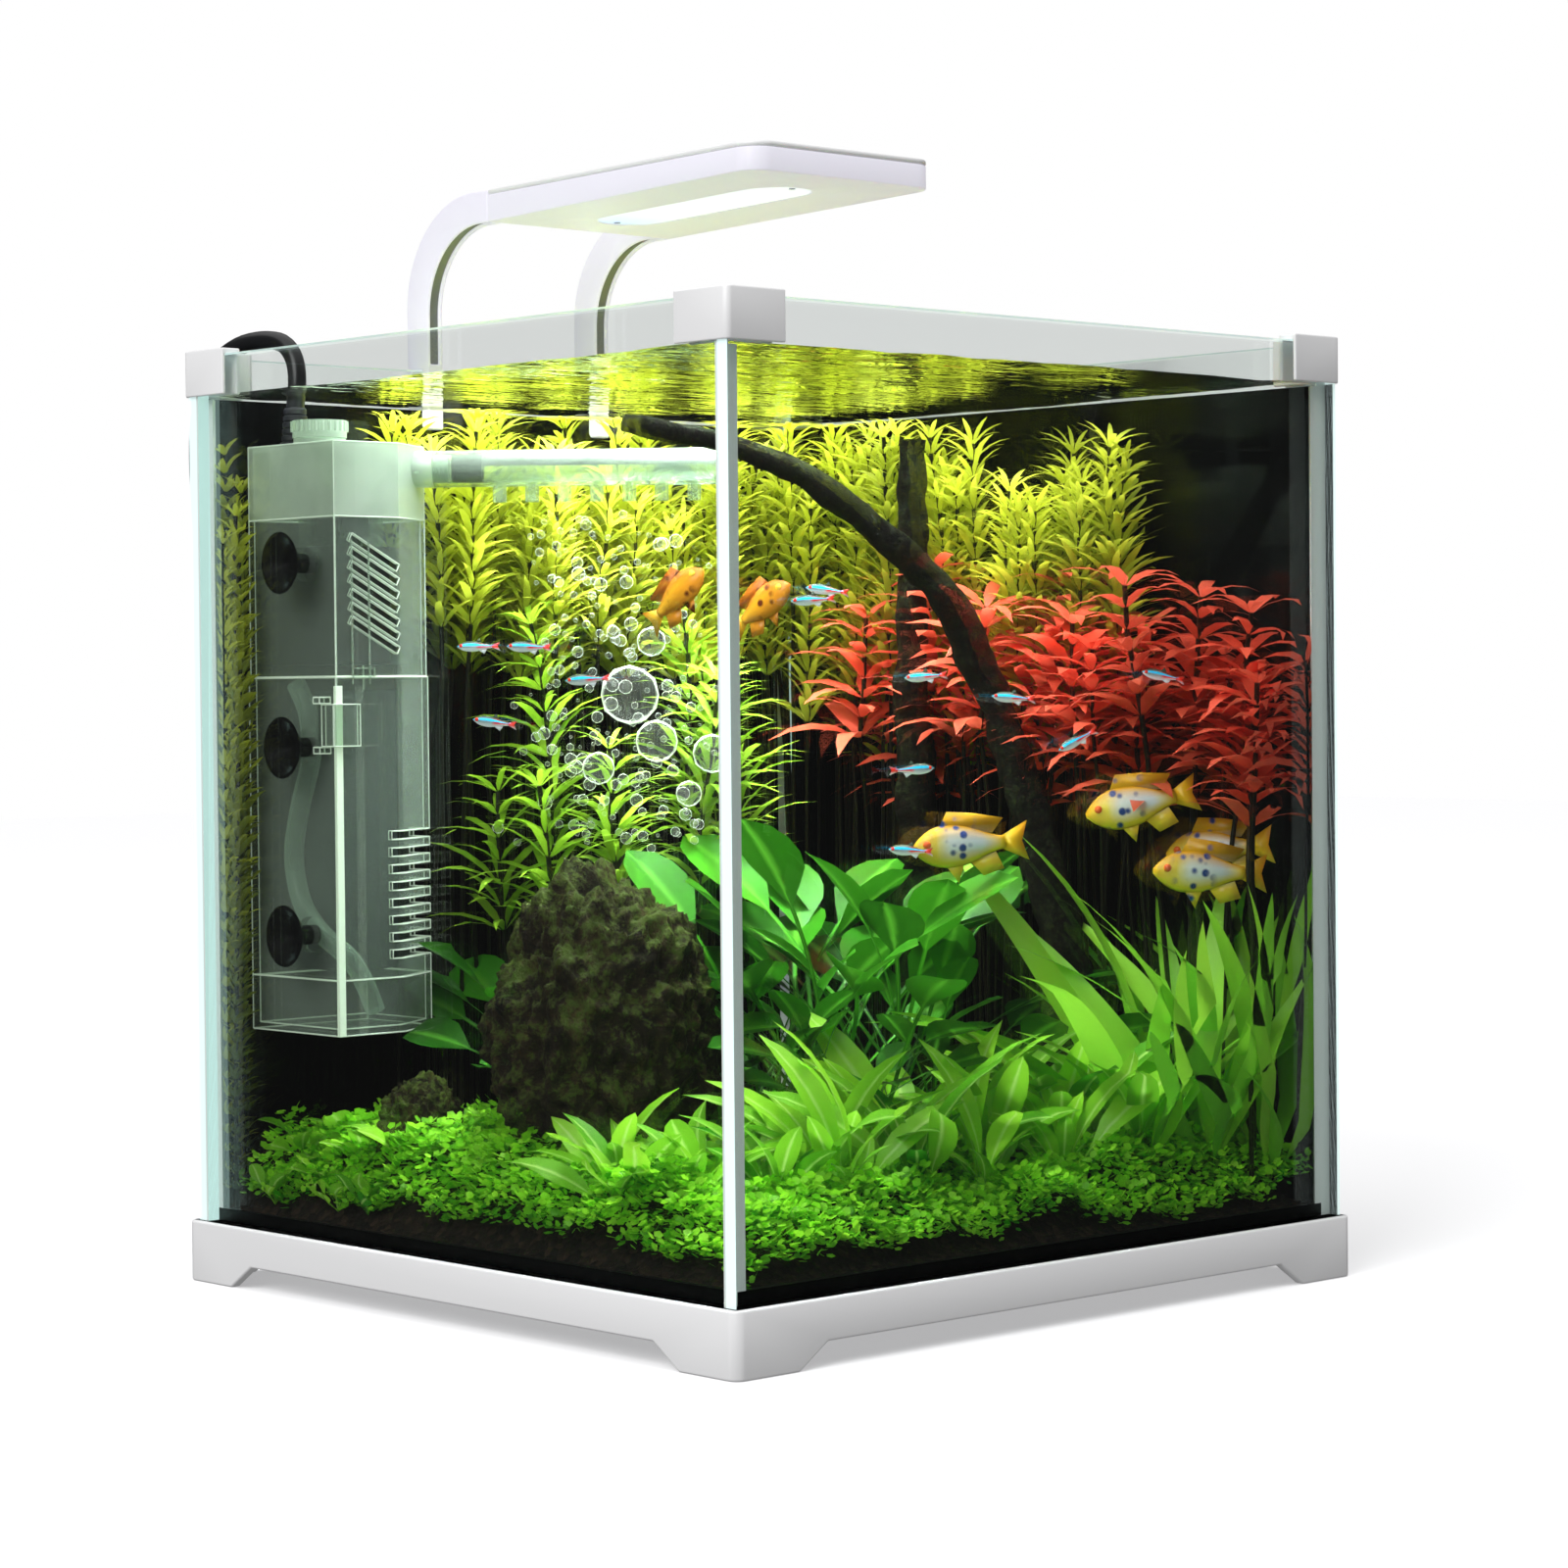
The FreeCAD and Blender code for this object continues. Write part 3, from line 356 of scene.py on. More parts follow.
for shellName, bevelWidth in edgePlan.items():
    softEdges(shellName, bevelWidth)
print("white shells softened")


# ---- glass

def paneMaterial(name, tint, mirror, ior, rough):
    # a thin clear sheet: light goes straight through, and a Fresnel share of it is mirrored
    material, add = newMaterial(name)
    fresnel = add("ShaderNodeFresnel", {"IOR": ior})
    share = add("MULTIPLY", [fresnel, mirror])
    clear = add("ShaderNodeBsdfTransparent", {"Color": linear(tint)})
    gloss = add("ShaderNodeBsdfGlossy", {"Roughness": rough})
    both = add("ShaderNodeMixShader", {0: share, 1: clear, 2: gloss})
    add("ShaderNodeOutputMaterial", {"Surface": both})
    return material


# Float glass, polished faces: clear, with a weak mirror at a slant.
floatGlass = paneMaterial("polishedFloatGlass", "#FCFEFD", 0.3, 1.5, 0.0)


def cutEdgeMaterial():
    # Float glass seen through its ground edge: pale green-blue, with a painted glow standing in for the light
    # it pipes.
    material, add = newMaterial("groundGlassEdgePaintedGlow")
    shader = add("ShaderNodeBsdfPrincipled", {"Base Color": linear("#DDF0EE"), "Roughness": 0.15,
            "IOR": 1.5, "Emission Color": linear("#E0F2F2"), "Emission Strength": 0.62})
    clear = add("ShaderNodeBsdfTransparent", {"Color": linear("#E4F3F1")})
    both = add("ShaderNodeMixShader", {0: 0.82, 1: clear, 2: shader})
    add("ShaderNodeOutputMaterial", {"Surface": both})
    return material


paintedGlowGlassEdge = cutEdgeMaterial()


def dressPane(nodeName, axis):
    # large faces clear, cut edges green
    mesh = nodes[nodeName].data
    mesh.materials.clear()
    mesh.materials.append(floatGlass)
    mesh.materials.append(paintedGlowGlassEdge)
    for face in mesh.polygons:
        face.material_index = 0 if abs(face.normal[axis]) > 0.9 or face.normal.z < -0.9 else 1


for paneName, paneAxis in (("glass_front", 1), ("glass_back", 1), ("glass_left", 0), ("glass_right", 0)):
    dressPane(paneName, paneAxis)
dress(floatGlass, "glass_bottom")

# Acetic silicone bead, tooled by hand: milky and rubbery.
siliconeBead = mouldedFinish("tooledClearSilicone", "#DDE5E2", 0.3, 1.41, 0.8, 0.1)
dress(siliconeBead, "silicone_vertical_seams")
# Pigmented silicone bead along the bottom: black.
dress(mouldedFinish("tooledBlackSilicone", "#0B0C0C", 0.35, 1.41, 0.8, 0.1), "silicone_bottom_seam")
# Closed-cell EVA foam mat, die cut: dull black.
foamMat = mouldedFinish("blackEvaFoam", "#191A1B", 0.85, 1.5, 0.6, 0.4)
dress(foamMat, "levelling_mat")
# Printed PVC background foil: near-black green and matt, wetted by the water.
foil = mouldedFinish("printedBackgroundFoil", "#020303", 0.9, 1.15, 1.2, 0.05)
dress(foil, "background_film_back", "background_film_right")


def makeFoilTop(name, nodeName, top):
    # the foil reaches up to the water line
    low, high = (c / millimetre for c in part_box(nodeName))
    corners = ((low.x, low.y), (high.x, low.y), (high.x, high.y), (low.x, high.y))
    vertices = [(x, y, z) for z in (high.z - 0.5, top) for x, y in corners]
    faces = [(3, 2, 1, 0), (4, 5, 6, 7)] + [(i, (i + 1) % 4, (i + 1) % 4 + 4, i + 4) for i in range(4)]
    addPiece(name, meshFrom(name, vertices, faces, smooth=False), "root", material=foil)


foilTop = 272.6   # millimetres
for foilSide in ("back", "right"):
    makeFoilTop(pieceName("foilTop", foilSide), "background_film_" + foilSide, foilTop)
print("glass dressed")


# ---- lamp

def lensMaterial():
    # Frosted acrylic diffuser over lit LEDs: glows evenly, a little bluer towards its ends.
    material, add = newMaterial("frostedAcrylicLens")
    place = add("ShaderNodeTexCoord").outputs["Object"]
    along = add("ShaderNodeSeparateXYZ", {0: place}).outputs[1]
    share = add("ShaderNodeMapRange", {0: along, 1: 0.050, 2: 0.069})
    colour = add("ShaderNodeValToRGB", [share], stops=[(0, "#F2F4FF"), (1, "#BCD0FF")])
    shader = add("ShaderNodeBsdfPrincipled", {"Base Color": linear("#8F98AE"), "Roughness": 0.4,
            "IOR": 1.49, "Emission Color": colour, "Emission Strength": 0.92})
    add("ShaderNodeOutputMaterial", {"Surface": shader})
    return material


dress(lensMaterial(), "led_lens")
# Glass-fibre laminate with white solder resist.
dress(mouldedFinish("whiteLedBoard", "#E4E6E2", 0.4, 1.5, 0.5, 0.05), "led_board")
# Phosphor-filled silicone of the LED chips: deep yellow.
dress(mouldedFinish("ledPhosphor", "#E8C53A", 0.35, 1.45, 0.5, 0.05), "led_chips")
# Stainless steel screws, cold headed: bright grey.
dress(mouldedFinish("coldHeadedStainless", "#A9ABAE", 0.28, 1.5, 0.3, 0.05, Metallic=1.0), "lens_screws")
# Injection-moulded nylon inlet: matt black.
dress(mouldedFinish("mouldedBlackNylon", "#1C1C1E", 0.5, 1.53, 0.3, 0.2), "lamp_dc_socket")
# Extruded grey TPE channel strip: soft and matt.
dress(mouldedFinish("extrudedGreyTpe", "#6F7077", 0.55, 1.5, 0.4, 0.1), "arm_channel_strips")
dress(mouldedFinish("clearTpePad", "#C9CCCE", 0.5, 1.5, 0.4, 0.1), "arm_rim_pads")
print("lamp dressed")


# ---- corner filter

def sanMaterial(name, tint, opacity, rough, glow):
    # Styrene acrylonitrile, injection moulded: see-through but milky, glossy skin.
    # Each wall has two faces, so each face hides only part of what lies behind it.
    material, add = newMaterial(name)
    place = add("ShaderNodeTexCoord").outputs["Object"]
    flow = add("ShaderNodeTexNoise", {"Vector": place, "Scale": 45.0, "Detail": 3.0})
    haze = add("ShaderNodeMapRange", {0: flow, 1: 0.3, 2: 0.7, 3: 0.75 * opacity, 4: 1.25 * opacity})
    slant = add("ShaderNodeLayerWeight", {"Blend": 0.25}).outputs["Facing"]
    haze = add("MULTIPLY_ADD", [slant, 0.5, haze])
    # glow is painted light: the milky plastic lights itself a little
    shader = add("ShaderNodeBsdfPrincipled", {"Base Color": linear(tint), "Roughness": rough, "IOR": 1.57,
            "Coat Weight": 0.4, "Coat Roughness": 0.1, "Emission Color": linear(tint),
            "Emission Strength": glow})
    clear = add("ShaderNodeBsdfTransparent", {"Color": linear("#EEF5EE")})
    both = add("ShaderNodeMixShader", {0: haze, 1: clear, 2: shader})
    add("ShaderNodeOutputMaterial", {"Surface": both})
    return material


sanHead = sanMaterial("milkySanHead", "#C6D6C3", 0.42, 0.3, 0.06)
sanShell = sanMaterial("milkySanShell", "#B8C6BA", 0.045, 0.25, 0.06)
sanBar = sanMaterial("milkySanBar", "#BACBB8", 0.16, 0.3, 0.06)
dress(sanHead, "filter_head", "knob_collar", "outlet_nozzle", "air_knob")
dress(sanShell, "pump_shell", "canister_body", "canister_floor", "canister_latch", "pump_chamber")
dress(sanBar, "spray_bar", "spray_bar_end_cap")
# Moulded SAN rail: pale green, with a painted glow that keeps it bright.
dress(mouldedFinish("mouldedSanRailPaintedGlow", "#E2F4DC", 0.25, 1.57, 0.4, 0.05, Emission_Color=linear("#DDF2D4"),
                    Emission_Strength=0.3), "canister_rail")
# Epoxy potting of the motor: glossy blue-black.
dress(mouldedFinish("pottedBlackEpoxy", "#16191C", 0.35, 1.55, 1.0, 0.1), "pump_motor")
dress(mouldedFinish("firedAluminaShaft", "#E8E6E0", 0.3, 1.76, 0.3, 0.05), "impeller_shaft")
dress(mouldedFinish("mouldedBlackPom", "#14181A", 0.4, 1.48, 0.3, 0.1), "impeller", "flow_regulator")
# Soft PVC suction cups: glossy black.
cupRubber = mouldedFinish("softBlackCupPvc", "#0E0F10", 0.22, 1.53, 0.6, 0.03)
dress(cupRubber, "suction_cup_upper", "suction_cups_lower")
# Open-cell polyether foam, blade cut: coal black with pores.
dress(mouldedFinish("openCellFilterFoam", "#2B3336", 0.9, 1.5, 1.1, 0.9, mottle=0.25), "filter_sponge")
dress(mouldedFinish("stainlessPin", "#B4B6B8", 0.25, 1.5, 0.3, 0.03, Metallic=1.0), "latch_pin")
dress(sanMaterial("clearPvcHose", "#C4D8CA", 0.3, 0.15, 0.12), "air_hose")

framePlan = {   # millimetres, on the front face of the pump's shell
    "front": 71.8, "thick": 0.5, "wide": 0.5,
    "lines": [(-102.0, 184, 228), (-95.6, 184, 228)], "box": (-102.0, -93.6, 186.4, 188.8),
}


def makeShellFrame(plan):
    # two raised ribs beside the grille, and a small frame at their foot
    left, right, low, high = plan["box"]
    half = plan["wide"] / 2
    bars = [(x - half, x + half, bottom, top) for x, bottom, top in plan["lines"]]
    bars += [(left, right, z - half, z + half) for z in (low, high)]
    bars += [(right - plan["wide"], right, low, high)]
    vertices, faces = [], []
    for west, east, bottom, top in bars:
        start = len(vertices)
        for y in (plan["front"] - plan["thick"], plan["front"]):
            vertices += [(west, y, bottom), (east, y, bottom), (east, y, top), (west, y, top)]
        faces += [tuple(start + i for i in face) for face in
                  ((0, 1, 2, 3), (7, 6, 5, 4), (4, 5, 1, 0), (5, 6, 2, 1), (6, 7, 3, 2), (7, 4, 0, 3))]
    addPiece("shellFrameRibs", meshFrom("shellFrameRibs", vertices, faces, smooth=False),
             bodyOf("pump_shell"), material=sanBar)


makeShellFrame(framePlan)
print("filter dressed")


# ---- planted bed

def woodNoise(place, size, seed):
    return noise.noise(Vector(place) / size + Vector((seed, seed * 0.7, -seed)))


soilPlan = {"half": 119.7, "low": 20.0, "edge": 23.0, "verge": 17.0, "front": 31.0, "back": 46.0,
            "cells": 96, "crumb": 1.1}


def soilTop(x, y):
    # the bed climbs to the back, and falls away at the panes
    plan = soilPlan
    share = (y + plan["half"]) / (2 * plan["half"])
    height = plan["front"] + (plan["back"] - plan["front"]) * share
    inward = plan["half"] - max(abs(x), -y)
    return plan["edge"] + (height - plan["edge"]) * smoothStep(0, plan["verge"], inward)


def makeSoil(plan):
    # a block whose top is crumbly and falls away at the glass
    n, half = plan["cells"], plan["half"]
    vertices, faces = [], sheetFaces(n)
    for j in range(n + 1):
        for i in range(n + 1):
            x, y = -half + 2 * half * i / n, -half + 2 * half * j / n
            crumb = plan["crumb"] * (woodNoise((x, y, 0), 2.2, 3) + 0.6 * woodNoise((x, y, 5), 6.0, 9))
            vertices.append((x, y, soilTop(x, y) + crumb - plan["crumb"]))
    row = n + 1
    rim = list(range(n)) + [n + j * row for j in range(n)]
    rim += [n * row + n - i for i in range(n)] + [(n - j) * row for j in range(n)]
    base = len(vertices)
    vertices += [(vertices[k][0], vertices[k][1], plan["low"]) for k in rim]
    count = len(rim)
    for i in range(count):
        k = (i + 1) % count
        faces.append((rim[i], base + i, base + k, rim[k]))
    faces.append(tuple(base + i for i in range(count - 1, -1, -1)))
    return meshFrom("soilBed", vertices, faces)


def soilMaterial():
    # Baked aquatic soil, sieved to 2-3 mm crumbs: dark brown, matt, damp.
    material, add = newMaterial("bakedAquaticSoil")
    place = add("ShaderNodeTexCoord").outputs["Object"]
    crumbs = add("ShaderNodeTexVoronoi", {"Vector": place, "Scale": 1 / (2.4 * millimetre)})
    colour = add("ShaderNodeValToRGB", [crumbs.outputs["Color"]],
            stops=[(0.1, "#0B0805"), (0.6, "#1B130B"), (1.0, "#33251A")])
    bump = add("ShaderNodeBump", {"Height": crumbs.outputs["Distance"], "Strength": 0.9, "Distance": 0.001},
            invert=True)
    shader = add("ShaderNodeBsdfPrincipled", {"Base Color": colour, "Roughness": 0.8,
            "Specular IOR Level": 0.2, "Normal": bump})
    add("ShaderNodeOutputMaterial", {"Surface": shader})
    return material


addPiece("soilBed", makeSoil(soilPlan), "root", ["soil_bed"], soilMaterial())


def stoneMaterial(name, deep, mid, bright, moss, sizeMm):
    # Rough natural surface: pitted and dark, with moss and algae on what faces the light.
    material, add = newMaterial(name)
    place = add("ShaderNodeTexCoord").outputs["Object"]
    patches = add("ShaderNodeTexNoise", {"Vector": place, "Scale": 1 / (sizeMm * millimetre), "Detail": 8.0,
            "Roughness": 0.75, "Distortion": 0.6})
    grit = add("ShaderNodeTexNoise", {"Vector": place, "Scale": 1 / (2.2 * millimetre), "Detail": 4.0,
            "Roughness": 0.7})
    colour = add("ShaderNodeValToRGB", [patches], stops=[(0.34, deep), (0.52, mid), (0.7, bright)])
    facing = add("ShaderNodeNewGeometry").outputs["Normal"]
    upward = add("ShaderNodeSeparateXYZ", [facing])
    rough = add("ADD", [patches, grit])
    growth = add("MULTIPLY_ADD", [upward.outputs["Z"], 0.16, rough])
    cover = add("ShaderNodeMapRange", {0: growth, 1: 1.0, 2: 1.22})
    tinted = add("ShaderNodeMix", {0: cover, 6: colour, 7: linear(moss)}, data_type="RGBA")
    height = add("MULTIPLY_ADD", [grit, 0.6, patches])
    bump = add("ShaderNodeBump", {"Height": height, "Strength": 1.0, "Distance": 0.003})
    shader = add("ShaderNodeBsdfPrincipled", {"Base Color": tinted.outputs[2], "Roughness": 0.85,
            "Specular IOR Level": 0.25, "Normal": bump})
    add("ShaderNodeOutputMaterial", {"Surface": shader})
    return material


scoria = stoneMaterial("brokenScoria", "#0C0905", "#2C2212", "#5A4C2A", "#46561C", 11)

rockPlan = [
    {"name": "lavaRockLarge", "node": "lava_rock_large", "centre": (-66, -2, 78), "size": (38, 32, 52),
     "sink": 20.4, "rough": 0.14, "seed": 4},
    {"name": "lavaRockSmall", "node": "lava_rock_small", "centre": (-92, 54, 46), "size": (17, 12, 21),
     "sink": 20.4, "rough": 0.16, "seed": 11},
]


def makeRock(plan):
    # a lump of stone with broken facets and pits
    ball = bmesh.new()
    bmesh.ops.create_icosphere(ball, subdivisions=6, radius=1.0)
    centre = Vector(plan["centre"])
    for vertex in ball.verts:
        way = vertex.co.normalized()
        lump = 1 + 1.3 * plan["rough"] * noise.noise(way * 1.7 + Vector((plan["seed"], 0, 0)))
        lump -= 1.1 * plan["rough"] * abs(noise.noise(way * 3.8 + Vector((0, plan["seed"], 0))))
        lump += 0.7 * plan["rough"] * noise.noise(way * 9 + Vector((0, 0, plan["seed"])))
        lump += 0.3 * plan["rough"] * noise.noise(way * 24 + Vector((0, 0, plan["seed"])))
        lump -= plan["rough"] * 0.4
        place = centre + Vector([way[k] * plan["size"][k] * lump for k in range(3)])
        place.z = max(place.z, plan["sink"])
        vertex.co = place * millimetre
    mesh = bpy.data.meshes.new(plan["name"])
    bmesh.ops.recalc_face_normals(ball, faces=ball.faces)
    ball.to_mesh(mesh)
    ball.free()
    mesh.shade_smooth()
    addPiece(plan["name"], mesh, "root", [plan["node"]], scoria)


for plan in rockPlan:
    makeRock(plan)

woodPlan = {
    "branch": {"node": "driftwood_branch", "radius": 9.0, "seed": 2,
               "line": [(72, -50, 20.3, 1.1), (72, -50, 56, 1.0), (78, -54, 90, 0.85),
                        (80, -40, 134, 0.75), (74, -26, 180, 0.7), (50, -22, 216, 0.62),
                        (4, -6, 250, 0.5), (-44, 12, 262, 0.35)]},
    "trunk": {"node": "driftwood_trunk", "radius": 7.0, "seed": 8,
              "line": [(84, 22, 20.3, 1.3), (84, 22, 60, 1.1), (90, 24, 116, 1.0),
                       (85, 20, 190, 0.85), (88, 22, 262, 0.7)]},
}
bogWood = stoneMaterial("waterloggedBogWood", "#040302", "#0B0805", "#17130A", "#1E260C", 6)


def splinePoint(line, t):
    # a smooth curve through the given points
    spot = min(max(t, 0.0), 0.99999) * (len(line) - 1)
    i = int(spot)
    f = spot - i
    p = [Vector(line[min(max(i + k, 0), len(line) - 1)]) for k in (-1, 0, 1, 2)]
    return 0.5 * (2 * p[1] + (p[2] - p[0]) * f + (2 * p[0] - 5 * p[1] + 4 * p[2] - p[3]) * f * f
                  + (3 * p[1] - p[0] - 3 * p[2] + p[3]) * f ** 3)


def makeWood(name, plan, rings=150, segments=20):
    # a knotty limb of changing thickness, closed at both ends
    vertices = []
    side = Vector((1, 0, 0))
    for ring in range(rings + 1):
        t = ring / rings
        here = splinePoint(plan["line"], t)
        ahead = splinePoint(plan["line"], min(t + 0.01, 1.0)) - splinePoint(plan["line"], max(t - 0.01, 0))
        way = Vector(ahead[:3]).normalized()
        side = (side - way * side.dot(way)).normalized()
        across = way.cross(side)
        radius = plan["radius"] * here[3]
        for i in range(segments):
            turn = 2 * math.pi * i / segments
            out = side * math.cos(turn) + across * math.sin(turn)
            spot = Vector(here[:3]) + out * radius
            bark = 1 + 0.28 * woodNoise(spot, 14, plan["seed"]) + 0.16 * woodNoise(spot, 5, plan["seed"])
            vertices.append(tuple(Vector(here[:3]) + out * radius * (bark - 0.1)))
    mesh = meshFrom(name, vertices, tubeFaces(rings, segments))
    addPiece(name, mesh, "root", [plan["node"]], bogWood)


for limbName, plan in woodPlan.items():
    makeWood(pieceName("bogWood", limbName), plan)
print("bed, stones and wood made")


# ---- plants

tankRoom, tankCeiling = 0.1195, 0.2705   # metres: half the inside width, and just below the water line
canopyDensity = 60000.0   # most plants a square metre
filterPlay = {"below": 0.009, "beside": 0.0012}   # metres: the canister's drop, and what leaves keep off it
# tree inputs that the plans give in millimetres
lengthInputs = ("Stem spacing", "Lowest stem", "Highest stem", "Lean", "Whorl spacing", "Leaf length",
                "Leaf width", "Stem radius", "Plant spacing", "Sprig spacing", "Leaf radius", "Sprig reach",
                "Pile", "Bead radius")


def newTree(name, inputs):
    # a Geometry Nodes tree with named inputs; whole numbers, lengths and materials keep their kind
    tree = bpy.data.node_groups.new(name, "GeometryNodeTree")
    for way in ("INPUT", "OUTPUT"):
        tree.interface.new_socket("Geometry", in_out=way, socket_type="NodeSocketGeometry")
    kinds = {int: "NodeSocketInt", float: "NodeSocketFloat", type(None): "NodeSocketMaterial"}
    for label, value in inputs.items():
        socket = tree.interface.new_socket(label, in_out="INPUT", socket_type=kinds[type(value)])
        if value is not None:
            socket.default_value = value
    given = tree.nodes.new("NodeGroupInput").outputs
    return tree, given, partial(addNode, tree)


def endTree(tree, geometry, material):
    # every tree ends in real meshes with one material
    real = addNode(tree, "GeometryNodeRealizeInstances", {0: geometry})
    smooth = addNode(tree, "GeometryNodeSetShadeSmooth", {0: real})
    coated = addNode(tree, "GeometryNodeSetMaterial", {0: smooth, "Material": material})
    result = tree.nodes.new("NodeGroupOutput")
    tree.links.new(coated.outputs[0], result.inputs[0])


def runTree(name, base, tree, values, body="root", grows=True):
    # lets the tree grow on a base mesh and keeps the result as a plain mesh
    holder = bpy.data.objects.new(name + "Base", base)
    scene.collection.objects.link(holder)
    grow = holder.modifiers.new("grow", "NODES")
    grow.node_group = tree
    for item in tree.interface.items_tree:
        if item.in_out == "INPUT" and item.name in values:
            value = values[item.name]
            grow[item.identifier] = value * millimetre if item.name in lengthInputs else value
    graph = bpy.context.evaluated_depsgraph_get()
    mesh = bpy.data.meshes.new_from_object(holder.evaluated_get(graph), preserve_all_data_layers=True,
                                           depsgraph=graph)
    mesh.name = name
    bpy.data.objects.remove(holder)
    if grows:
        keepInTank(mesh)
    addPiece(name, mesh, body)
    print(" ", name, len(mesh.polygons), "faces")


def keepInTank(mesh):
    # leaves that reach a pane or the filter lie along it, and none stands out of the water
    beside = filterPlay["beside"]
    low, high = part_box("canister_body")
    left, right = low.x - beside, high.x + beside
    near, far = low.y - beside, high.y + beside
    under = min(low.z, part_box("canister_floor")[0].z) - filterPlay["below"]
    for vertex in mesh.vertices:
        x, y, z = vertex.co
        if z > under and left < x < right and near < y < far:
            _, x, y = min((x - left, left, y), (right - x, right, y), (y - near, x, near), (far - y, x, far))
        x, y = (min(max(c, -tankRoom), tankRoom) for c in (x, y))
        vertex.co = (x, y, min(z, tankCeiling))


def leafBlade(add, across, along, length, width, rise, droop, petiole, belly, point, fold):
    # a leaf in its own plane: it starts at the origin, climbs at the angle rise and bends down by droop
    grid = add("GeometryNodeMeshGrid", {"Size X": 1.0, "Size Y": 1.0, "Vertices X": across,
            "Vertices Y": along})
    here = add("GeometryNodeInputPosition")
    x, y, _ = add("ShaderNodeSeparateXYZ", {0: here}).outputs
    t = add("ADD", [y, 0.5])
    blade = add("ShaderNodeMapRange", {0: t, 1: petiole, 2: 1.0})
    arch = add("MULTIPLY", [add("POWER", [blade, belly]), math.pi])
    swell = add("POWER", [add("SINE", [arch]), point])
    wide = add("MULTIPLY", [add("MAXIMUM", [swell, 0.07 if petiole else 0.16]), width])
    tip = add("LESS_THAN", [t, 0.999])
    side = add("MULTIPLY", [add("MULTIPLY", [x, wide]), add("MAXIMUM", [tip, 0.05])])
    bent = add("SUBTRACT", [rise, add("MULTIPLY", [droop, t])])
    reach = add("DIVIDE", [length, droop])
    out = add("MULTIPLY", [reach, add("SUBTRACT", [add("SINE", [rise]), add("SINE", [bent])])])
    up = add("MULTIPLY", [reach, add("SUBTRACT", [add("COSINE", [bent]), add("COSINE", [rise])])])
    crease = add("MULTIPLY", [add("ABSOLUTE", [side]), fold])
    spot = add("ShaderNodeCombineXYZ", {0: side, 1: out, 2: add("ADD", [up, crease])})
    first = add("GeometryNodeStoreNamedAttribute", {0: grid, "Name": "leafAlong", "Value": t})
    spread = add("ABSOLUTE", [add("MULTIPLY", [x, 2.0])])
    second = add("GeometryNodeStoreNamedAttribute", {0: first, "Name": "leafAcross", "Value": spread})
    return add("GeometryNodeSetPosition", {0: second, "Position": spot})


def ringOfLeaves(add, leaf, count, gap):
    # leaves set round a stem, each pointing outwards
    ring = add("GeometryNodeMeshCircle", {"Vertices": count, "Radius": gap})
    here = add("GeometryNodeInputPosition")
    turn = add("FunctionNodeAlignRotationToVector", {"Vector": here}, axis="Y", pivot_axis="Z")
    whorl = add("GeometryNodeInstanceOnPoints", {"Points": ring, "Instance": leaf, "Rotation": turn})
    return add("GeometryNodeRealizeInstances", {0: whorl})


